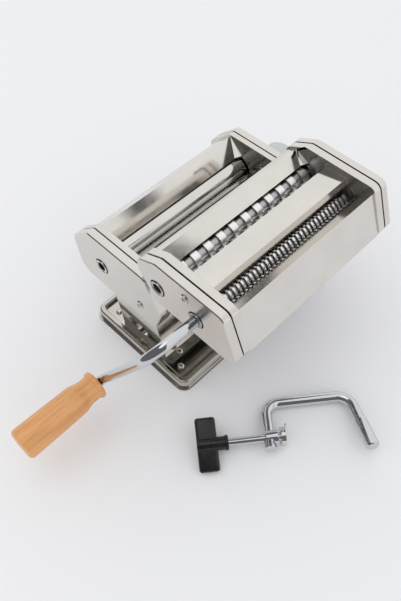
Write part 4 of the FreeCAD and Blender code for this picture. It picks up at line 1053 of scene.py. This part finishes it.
@dataclass
class DriveRing:
    """The plated ring round a crank socket and a black ring of painted shadow in the gap outside
    it.
    """

    inner: float = 6.05 * MM
    outer: float = 6.55 * MM
    gap_edge: float = 7.38 * MM
    proud: float = 0.9 * MM
    depth: float = 1.2 * MM
    gap_shadow_depth: float = 0.5 * MM
    edge: float = 0.2 * MM
    sides: int = 48

    def at(self, face: float, middle: Vector) -> tuple[Thing, Thing]:
        """Make the ring and a black ring of painted shadow round one shaft.

        Args:
            face: X of the cover's face.
            middle: The shaft's middle.

        Returns:
            The ring and the black ring of painted shadow, not dressed yet.
        """
        back, front, dark = face + self.depth, face - self.proud, face + self.gap_shadow_depth
        ring = rounded_profile([(back, self.inner, 0), (front, self.inner, self.edge),
                                (front, self.outer, self.edge), (back, self.outer, 0),
                                (back, self.inner, 0)], steps=4)
        # Painted shadow: a black ring sunk in the gap between the drive ring and the cover's hole.
        gap_shadow_outline = [(back, self.outer), (dark, self.outer), (dark, self.gap_edge),
                (back, self.gap_edge), (back, self.outer)]
        place = Matrix.Translation((0, middle.y, middle.z))
        return (set_at("drive_ring", turned(ring, self.sides), place),
                set_at("drive_seal", turned(gap_shadow_outline, self.sides), place))

    def bearings(self, name: str, node: str, cover: str, shafts: Sequence[str]) -> None:
        """Replace a node of bushes and rings by round ones, with a black ring of painted shadow
        beside each ring.

        Args:
            name: Start of the new pieces' names.
            node: The CAD node of the bushes and rings.
            cover: The CAD cover whose face carries the rings.
            shafts: The CAD nodes whose shafts run in the rings.
        """
        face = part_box(cover)[0].x
        rings, gap_shadows = zip(*(self.at(face, middle_of(shaft)) for shaft in shafts))
        mesh = merged_copy(node)
        keep_inside(mesh, face + self.depth)
        fitted(merged(f"{name}_bearings", [new_object("bushes", mesh), *rings]), BRIGHT_STEEL, node)
        # The black rings paint the shadow in each gap.
        dark = merged(f"{name}_seals", gap_shadows)
        dark.data.materials.append(material_of(GAP_SHADOW_BLACK))
        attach(dark, BODY_OF[node])
        log.info("%s: %d faces on %s", dark.name, len(dark.data.polygons), BODY_OF[node])


@dataclass
class SheetWork:
    """How pressed cheeks and folded plates are rounded at their edges."""

    pressed_edge: float = 0.55 * MM
    corner: float = 1.8 * MM
    plate_edge: float = 0.3 * MM
    wing_edge: float = 0.1 * MM

    def cheeks(self, name: str, nodes: Sequence[str]) -> None:
        """Dress the frame and the cover of both sides.

        Args:
            name: Start of the new pieces' names.
            nodes: Start of the CAD names of the frames and of the covers.
        """
        for side in SIDES:
            for kind, node in zip(("frame", "cover"), nodes):
                refined(f"{name}_{kind}_{side}", f"{node}_{side}", RIM_NICKEL,
                        self.pressed_edge, rounds=3, corner=self.corner)

    def plates(self, **nodes: str) -> None:
        """Dress folded plates, each new piece's name with its CAD node."""
        for name, node in nodes.items():
            refined(name, node, NICKEL, self.plate_edge)


@dataclass
class SheetRoller(SheetWork):
    """The cheeks, plates, smooth rollers and small parts of the sheet roller."""

    roller_edge: float = 0.5 * MM
    block_edge: float = 0.3 * MM

    def rollers(self) -> None:
        """Dress the smooth rollers with their gears, scrapers and blocks."""
        for place in PLACES:
            refined(f"smooth_roller_{place}", f"{place}_roller", ROLLER_STEEL, self.roller_edge)
            kept(f"{place}_roller_gear", GEAR_STEEL)
            kept(f"{place}_scraper", DARK_COMB_STEEL_AND_SHADE)
        for side in SIDES:
            refined(f"sliding_block_{side}", f"bearing_block_{side}", BRIGHT_STEEL, self.block_edge)

    def build(self) -> None:
        """Make and dress the sheet roller."""
        self.cheeks("roller", ("side_frame", "side_cover"))
        self.plates(rear_feed_plate="hopper_rear_plate", front_feed_plate="hopper_front_plate")
        refined("feed_wings", "hopper_wings", NICKEL, self.wing_edge, rounds=1)
        self.rollers()
        DriveRing().bearings("roller", "roller_bushes", "side_cover_left", ["rear_roller"])
        for node in ("tie_rods", "tie_rod_nuts", "cover_studs"):
            kept(node, GEAR_STEEL)
        ScrewHead().on("cover_screws", "roller_cover_screws")


@dataclass
class Regulator:
    """The gap knob with its spindle, spring, cap and index plate."""

    knob_edge: float = 1.2 * MM
    cap_edge: float = 0.3 * MM
    plate_edge: float = 0.25 * MM
    spring_keep: float = 0.5

    def build(self) -> None:
        """Make and dress the regulator."""
        refined("gap_knob", "regulator_knob", KNOB_METAL, self.knob_edge, rounds=4)
        refined("gap_knob_cap", "knob_cap", KNOB_METAL, self.cap_edge)
        refined("gap_index_plate", "index_plate", BRIGHT_STEEL, self.plate_edge)
        kept("knob_spindle", GEAR_STEEL)
        spring = refined("knob_coil", "knob_spring", GEAR_STEEL, edge=0.0)
        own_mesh(spring)


@dataclass(frozen=True)
class CutterPair:
    """Two cutters whose square ridges reach into each other's grooves."""

    family: str
    radius: float
    core: float
    pitch: float
    ridge: float
    sides: int
    corner: float
    # Grey level of the shade painted into the grooves.
    painted_groove_shade: float
    ridged_span: float = 144.0 * MM
    ridge_root: float = 0.4 * MM
    barrel_half: float = 73.5 * MM
    journal: float = 4.5 * MM
    driven_shaft: float = 6.0 * MM
    socket: float = 4.32 * MM
    socket_depth: float = 9.0 * MM
    core_sides: int = 48

    def ring(self) -> Mesh:
        """Make one ridge, which starts at X = 0.

        Returns:
            The mesh.
        """
        bottom, shoulder = self.core - self.ridge_root, self.radius - self.corner
        return turned([(0, bottom), (0, shoulder), (self.corner, self.radius),
                       (self.ridge - self.corner, self.radius), (self.ridge, shoulder),
                       (self.ridge, bottom), (0, bottom)], self.sides)

    def shaft(self, place: str, low: float, high: float) -> Profile:
        """Outline a cutter's barrel with its two shaft ends.

        Args:
            place: "rear" for the driven cutter, which has the crank's socket, or "front".
            low: The shaft's lowest X.
            high: The shaft's highest X.

        Returns:
            The outline.
        """
        half, journal = self.barrel_half, self.journal
        barrel = [(-half, self.core), (half, self.core), (half, journal), (high, journal),
                  (high, 0)]
        if place == "front":
            return [(low, 0), (low, journal), (-half, journal), *barrel]
        bottom = low + self.socket_depth
        return [(bottom, 0), (bottom, self.socket), (low, self.socket), (low, self.driven_shaft),
                (-half, self.driven_shaft), *barrel]

    def cutter(self, place: str) -> None:
        """Make one cutter of the pair.

        Args:
            place: "rear" for the driven cutter or "front" for its partner.
        """
        node = f"{self.family}_cutter_{place}"
        low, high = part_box(node)
        middle = middle_of(node)
        count = int((self.ridged_span - self.ridge) / self.pitch) + 1
        start = -((count - 1) * self.pitch + self.ridge) / 2
        if place == "front":
            count -= 1
            start += self.pitch / 2
        finish = RidgedFinish(f"{node}_steel", middle.y, middle.z, self.core, self.radius,
                              self.painted_groove_shade)
        ridges = ROW.run(new_object("ridges", self.ring()), finish, Count=count, Pitch=self.pitch,
                         Start=Vector((start, middle.y, middle.z)))
        core = turned(self.shaft(place, low.x, high.x), self.core_sides)
        core.transform(Matrix.Translation((0, middle.y, middle.z)))
        thing = merged(f"{self.family}_ridged_cutter_{place}", [ridges, new_object("core", core)])
        smoothed(thing.data)
        fitted(thing, finish, node)

    def build(self) -> None:
        """Make both cutters and dress their gears and combs."""
        for place in PLACES:
            self.cutter(place)
            kept(f"{self.family}_gear_{place}", GEAR_STEEL)
        kept(f"{self.family}_combs", DARK_COMB_STEEL_AND_SHADE)


@dataclass
class CutterHead(SheetWork):
    """The lift-off head with its cheeks, plates, hooks and two pairs of cutters."""

    hook_edge: float = 0.2 * MM
    wide: CutterPair = CutterPair(
        "wide", radius=9.5 * MM, core=7.65 * MM, pitch=13.5 * MM, ridge=6.6 * MM, sides=48,
        corner=0.25 * MM, painted_groove_shade=0.5)
    narrow: CutterPair = CutterPair(
        "narrow", radius=9.0 * MM, core=7.15 * MM, pitch=4.34 * MM, ridge=2.05 * MM, sides=40,
        corner=0.12 * MM, painted_groove_shade=0.42)

    def build(self) -> None:
        """Make and dress the head."""
        self.cheeks("head", ("cutter_frame", "cutter_cover"))
        self.plates(head_rear_feed_plate="cutter_rear_plate",
                    head_middle_feed_plate="cutter_middle_plate",
                    head_front_guard="cutter_front_panel")
        refined("head_wings", "cutter_wings", NICKEL, self.wing_edge, rounds=1)
        refined("head_hooks", "cutter_hooks", NICKEL, self.hook_edge)
        self.wide.build()
        self.narrow.build()
        shafts = ["wide_cutter_rear", "narrow_cutter_rear"]
        DriveRing().bearings("head", "cutter_bushes", "cutter_cover_left", shafts)
        for node in ("cutter_tie_rods", "cutter_tie_rod_nuts", "cutter_cover_studs"):
            kept(node, GEAR_STEEL)
        ScrewHead().on("cutter_cover_screws", "head_cover_screws")


@dataclass
class Crank:
    """The bent crank rod and the turned grip on its pin.

    The grip's shape gives, in millimetres, the distance from its start, the radius and the
    rounding of each point: a recess round the pin, a bead, a neck and a body that widens to
    a rounded end.
    """

    radius: float = 4.2 * MM
    start: float = 81.65 * MM
    reach: float = 134.0 * MM
    end: float = 145.2 * MM
    throw: float = 105.5 * MM
    angle: float = math.radians(32.8)
    first_bend: float = 20.0 * MM
    second_bend: float = 7.0 * MM
    into_grip: float = 4.0 * MM
    pin_radius: float = 3.15 * MM
    pin_sides: int = 32
    pin_start: float = 3.0 * MM
    pin_short: float = 3.6 * MM
    grip_start: float = 149.8 * MM
    grip_sides: int = 72
    shape: Sequence[Triple] = (
        (5.0, 3.3, 0), (5.0, 5.45, 0), (0, 5.45, 0.4), (0, 9.6, 1.0), (0.5, 12.1, 1.4),
        (2.5, 12.5, 1.3), (4.6, 11.9, 1.4), (5.1, 10.6, 0.5), (13.7, 10.6, 3.4),
        (20.0, 12.7, 3.0), (46.0, 13.3, 10.0), (76.0, 13.75, 4.4), (76.0, 0, 0))

    def outline(self) -> list[Triple]:
        """Place the grip's shape along X, in metres."""
        return [(-self.grip_start - x * MM, r * MM, cut * MM) for x, r, cut in self.shape]

    def rod(self) -> None:
        """Make the rod along its bent path, with the grip's pin."""
        middle = middle_of("narrow_cutter_rear")
        shaft = Vector((0, middle.y, middle.z))
        down = Vector((0, math.sin(self.angle), -math.cos(self.angle)))
        low = shaft + down * self.throw
        stations = ((shaft, self.start), (shaft, self.reach), (low, self.end),
                    (low, self.grip_start + self.into_grip))
        corners = [spot + Vector((-x, 0, 0)) for spot, x in stations]
        rod = bent_rod(self.radius, corners, [self.first_bend, self.second_bend])
        far = self.outline()[-1][0] + self.pin_short
        near = -self.grip_start - self.pin_start
        pin = turned([(far, 0), (far, self.pin_radius), (near, self.pin_radius), (near, 0)],
                     self.pin_sides)
        pin.transform(Matrix.Translation(low))
        thing = merged("crank_bar", [rod, new_object("pin", pin)])
        smoothed(thing.data)
        fitted(thing, CHROME, "crank_rod")

    def grip(self) -> None:
        """Turn the wooden grip."""
        mesh = turned(rounded_profile(self.outline(), steps=8), self.grip_sides)
        middle = middle_of("wooden_grip")
        mesh.transform(Matrix.Translation((0, middle.y, middle.z)))
        smoothed(mesh, sharp=math.radians(50))
        fitted(new_object("turned_grip", mesh), BEECH, "wooden_grip")

    def build(self) -> None:
        """Make and dress the crank."""
        self.rod()
        self.grip()


@dataclass
class TableClamp:
    """The table clamp: bent rod, sleeve, screw with its pad and the wing knob."""

    corner: Triple = (4.1 * MM, -165.1 * MM, 5.0 * MM)
    yaw: float = math.radians(141.3)
    tilt: float = math.radians(9.2)
    radius: float = 4.85 * MM
    span: float = 72.8 * MM
    leg: float = 43.4 * MM
    leg_lean: float = 2.4 * MM
    arm: float = 51.0 * MM
    arm_lean: float = 7.0 * MM
    bend: float = 13.0 * MM
    screw_y: float = 32.9 * MM
    boss_half: float = 5.5 * MM
    boss_bore: float = 3.45 * MM
    boss_radius: float = 6.2 * MM
    boss_edge: float = 0.8 * MM
    sleeve_length: float = 25.0 * MM
    sleeve_bore: float = 5.05 * MM
    sleeve_radius: float = 5.7 * MM
    sleeve_cap: float = 0.8 * MM
    sleeve_edge: float = 0.25 * MM
    sleeve_round: float = 2.0 * MM
    small_edge: float = 0.3 * MM
    wing_roll: float = math.radians(-28)
    wing_length: float = 44.0 * MM
    wing_thick: float = 7.0 * MM
    wing_edge: float = 2.4 * MM
    hub_radius: float = 6.4 * MM
    hub_waist: float = 5.7 * MM
    hub_collar: float = 2.6 * MM
    hub_bore: float = 3.2 * MM
    hub_reach: float = 6.9 * MM
    hub_round: float = 1.2 * MM
    collar_edge: float = 0.8 * MM
    step_edge: float = 0.4 * MM
    step_fillet: float = 0.3 * MM

    def place(self) -> Matrix:
        """Where the clamp lies: X along its back and Y along its legs."""
        return (Matrix.Translation(self.corner) @ Matrix.Rotation(self.yaw, 4, "Z")
                @ Matrix.Rotation(self.tilt, 4, "X"))

    def rod(self) -> None:
        """Make the bent rod with the boss round the screw."""
        corners = [Vector((self.span + self.leg_lean, self.leg, 0)), Vector((self.span, 0, 0)),
                   Vector((0, 0, 0)), Vector((-self.arm_lean, self.arm, 0))]
        half, bore, outer = self.boss_half, self.boss_bore, self.boss_radius
        boss = turned(rounded_profile([
            (-half, bore, 0), (-half, outer, self.boss_edge), (half, outer, self.boss_edge),
            (half, bore, 0), (-half, bore, 0)]), ROD_SIDES)
        boss.transform(Matrix.Translation((self.span, self.screw_y, 0)))
        rod = bent_rod(self.radius, corners, [self.bend, self.bend])
        thing = merged("clamp_bar", [rod, new_object("boss", boss)])
        thing.data.transform(self.place())
        smoothed(thing.data)
        fitted(thing, CHROME, "clamp_rod")

    def sleeve(self) -> None:
        """Make the sleeve with its rounded end."""
        start, cap, outer = -self.sleeve_length, self.sleeve_cap, self.sleeve_radius
        mesh = turned(rounded_profile([
            (start, self.sleeve_bore, 0), (start, outer, self.sleeve_edge),
            (cap, outer, self.sleeve_round), (cap, 0, 0)]), ROD_SIDES)
        lean = math.atan2(self.arm_lean, self.arm)
        place = (self.place() @ Matrix.Translation((-self.arm_lean, self.arm, 0))
                 @ Matrix.Rotation(math.pi / 2 + lean, 4, "Z"))
        fitted(set_at("clamp_sleeve_cap", mesh, place), CHROME, "clamp_sleeve")

    def wing(self) -> None:
        """Mould the wing knob: a hub with a collar and one rounded wing across it."""
        place = self.place() @ Matrix.Translation((0, self.screw_y, 0))
        back = place.inverted()
        spots = [back @ vert.co for vert in frame["nodes"]["wing_knob"].data.vertices]
        hub = [spot.x for spot in spots if math.hypot(spot.y, spot.z) < self.hub_reach]
        tips = [spot.x for spot in spots if math.hypot(spot.y, spot.z) > self.wing_length / 4]
        near, far, step = min(hub), max(hub), min(hub) + self.hub_collar
        bore, collar, waist = self.hub_bore, self.hub_radius, self.hub_waist
        body = turned(rounded_profile([
            (near, bore, 0), (near, collar, self.collar_edge), (step, collar, self.step_edge),
            (step, waist, self.step_fillet), (far, waist, self.hub_round), (far, bore, 0),
            (near, bore, 0)]), ROD_SIDES)
        size = Vector((max(tips) - min(tips), self.wing_length, self.wing_thick))
        middle = Matrix.Translation(((max(tips) + min(tips)) / 2, 0, 0))
        blade = block(size, middle @ Matrix.Rotation(self.wing_roll, 4, "X"), self.wing_edge)
        thing = merged("black_wing_knob", [new_object("hub", body), new_object("wing", blade)])
        thing.data.transform(place)
        smoothed(thing.data)
        fitted(thing, BLACK_PLASTIC, "wing_knob")

    def build(self) -> None:
        """Make and dress the clamp."""
        self.rod()
        self.sleeve()
        self.wing()
        refined("clamp_spindle", "clamp_screw", CHROME, self.small_edge)
        refined("pressure_pad", "clamp_pad", BRIGHT_STEEL, self.small_edge)


@dataclass
class Studio:
    """The pale floor, the lamp, the dark cards that the metal mirrors, and the camera."""

    target: Triple = (-40.19 * MM, -30.53 * MM, 60.0 * MM)
    back: Triple = (-0.3965, -0.4214, 0.8156)
    distance: float = 534.04 * MM
    roll: float = math.radians(-2.07)
    lens: float = 37.29
    sensor: float = 36.0
    near_clip: float = 0.01
    ring: float = 1.1
    card_columns: int = 16
    card_rows: int = 6
    world_light: float = 0.90
    floor_half: float = 3.0
    floor_roughness: float = 0.7
    floor_colour: Triple = (0.905, 0.912, 0.935)
    lamp_place: Triple = (-0.45, 0.4, 1.8)
    lamp_size: float = 1.4
    lamp_watts: float = 2.6

    def camera(self) -> None:
        """Set the camera at the photograph's angle."""
        data = bpy.data.cameras.new("portrait")
        data.sensor_fit = "AUTO"
        data.sensor_width = self.sensor
        data.lens = self.lens
        data.clip_start = self.near_clip
        away = Vector(self.back).normalized()
        level = Vector((0, 0, 1)).cross(away).normalized()
        right = level * math.cos(self.roll) + away.cross(level) * math.sin(self.roll)
        axes = Matrix((right, away.cross(right), away)).transposed().to_4x4()
        thing = bpy.data.objects.new("portrait", data)
        thing.matrix_world = Matrix.Translation(Vector(self.target) + away * self.distance) @ axes
        bpy.context.scene.collection.objects.link(thing)
        bpy.context.scene.camera = thing

    def floor(self) -> None:
        """Lay the pale floor."""
        half = self.floor_half
        mesh = bpy.data.meshes.new("floor")
        mesh.from_pydata([(-half, -half, 0), (half, -half, 0), (half, half, 0),
                          (-half, half, 0)], [], [(0, 1, 2, 3)])
        mesh.materials.append(Surface("pale_floor").dressed({
            "Base Color": (*self.floor_colour, 1.0), "Roughness": self.floor_roughness,
            "Specular IOR Level": 0.0}))
        new_object("pale_floor", mesh)

    def card(self, name: str, turns: Span, rises: Span, shade: float) -> None:
        """Stand a curved card round the machine, which only mirrors see.

        Args:
            name: The card's name.
            turns: Its first and last direction from the machine, in degrees from X.
            rises: Its lowest and highest angle above the floor, in degrees.
            shade: How much light it sends back, from 0 to 1.
        """
        points = []
        for k in range(self.card_columns + 1):
            turn = math.radians(turns[0] + (turns[1] - turns[0]) * k / self.card_columns)
            for m in range(self.card_rows + 1):
                rise = math.radians(rises[0] + (rises[1] - rises[0]) * m / self.card_rows)
                points.append(self.ring * Vector((math.cos(rise) * math.cos(turn),
                                                  math.cos(rise) * math.sin(turn), math.sin(rise))))
        row = self.card_rows + 1
        corners = [k * row + m for k in range(self.card_columns) for m in range(self.card_rows)]
        mesh = bpy.data.meshes.new(name)
        mesh.from_pydata(points, [], [(c, c + 1, c + row + 1, c + row) for c in corners])
        mesh.materials.append(Surface(name, "ShaderNodeEmission").dressed(
            {"Color": (shade, shade, shade, 1.0)}))
        thing = new_object(name, mesh)
        thing.visible_camera = False
        thing.visible_diffuse = False
        thing.visible_shadow = False

    def lamp(self) -> None:
        """Hang the square soft lamp that looks at the machine."""
        data = bpy.data.lights.new("overhead_softbox", "AREA")
        data.size = self.lamp_size
        data.energy = self.lamp_watts
        thing = bpy.data.objects.new("overhead_softbox", data)
        thing.location = self.lamp_place
        aim = Vector(self.target) - Vector(self.lamp_place)
        thing.rotation_euler = aim.to_track_quat("-Z", "Y").to_euler()
        bpy.context.scene.collection.objects.link(thing)

    def surround(self) -> None:
        """Light the surround evenly, white to the camera and to mirrors."""
        world = bpy.data.worlds.new("surround")
        bpy.context.scene.world = world
        world.use_nodes = True
        made = Nodes(world.node_tree)
        path = made.add("ShaderNodeLightPath").outputs
        seen = made.add("ShaderNodeMath", {0: path["Is Camera Ray"], 1: path["Is Glossy Ray"]},
                        operation="MAXIMUM").outputs["Value"]
        clear = made.add("ShaderNodeMath", {0: seen, 1: path["Is Transmission Ray"]},
                         operation="MAXIMUM").outputs["Value"]
        bright = made.add("ShaderNodeMapRange",
                          {"Value": clear, "To Min": self.world_light, "To Max": 1.0})
        light = made.add("ShaderNodeBackground", {"Color": (1.0, 1.0, 1.0, 1.0),
                                                  "Strength": bright.outputs["Result"]})
        made.add("ShaderNodeOutputWorld", {"Surface": light.outputs["Background"]})

    def build(self) -> None:
        """Set up the whole studio."""
        self.camera()
        self.floor()
        self.surround()
        self.card("dark_left_wall", turns=(97.0, 262.0), rises=(3.0, 66.0), shade=0.16)
        self.card("dark_front_flag", turns=(-66.0, -60.5), rises=(24.0, 41.0), shade=0.08)
        self.card("dark_front_stand", turns=(-61.0, -56.0), rises=(50.0, 59.0), shade=0.10)
        self.lamp()
        bpy.context.scene.view_settings.view_transform = "Standard"


def clear_start() -> None:
    """Remove the objects that a new file holds."""
    for name in ("Cube", "Light", "Camera"):
        if name in bpy.data.objects:
            bpy.data.objects.remove(bpy.data.objects[name])


def main() -> None:
    """Build every sub-assembly in order and log each as it is built."""
    clear_start()
    for part in (Base(), SheetRoller(), Regulator(), CutterHead(), Crank(), TableClamp(), Studio()):
        part.build()
        log.info("%s built", type(part).__name__)


if __name__ == "__main__":
    main()
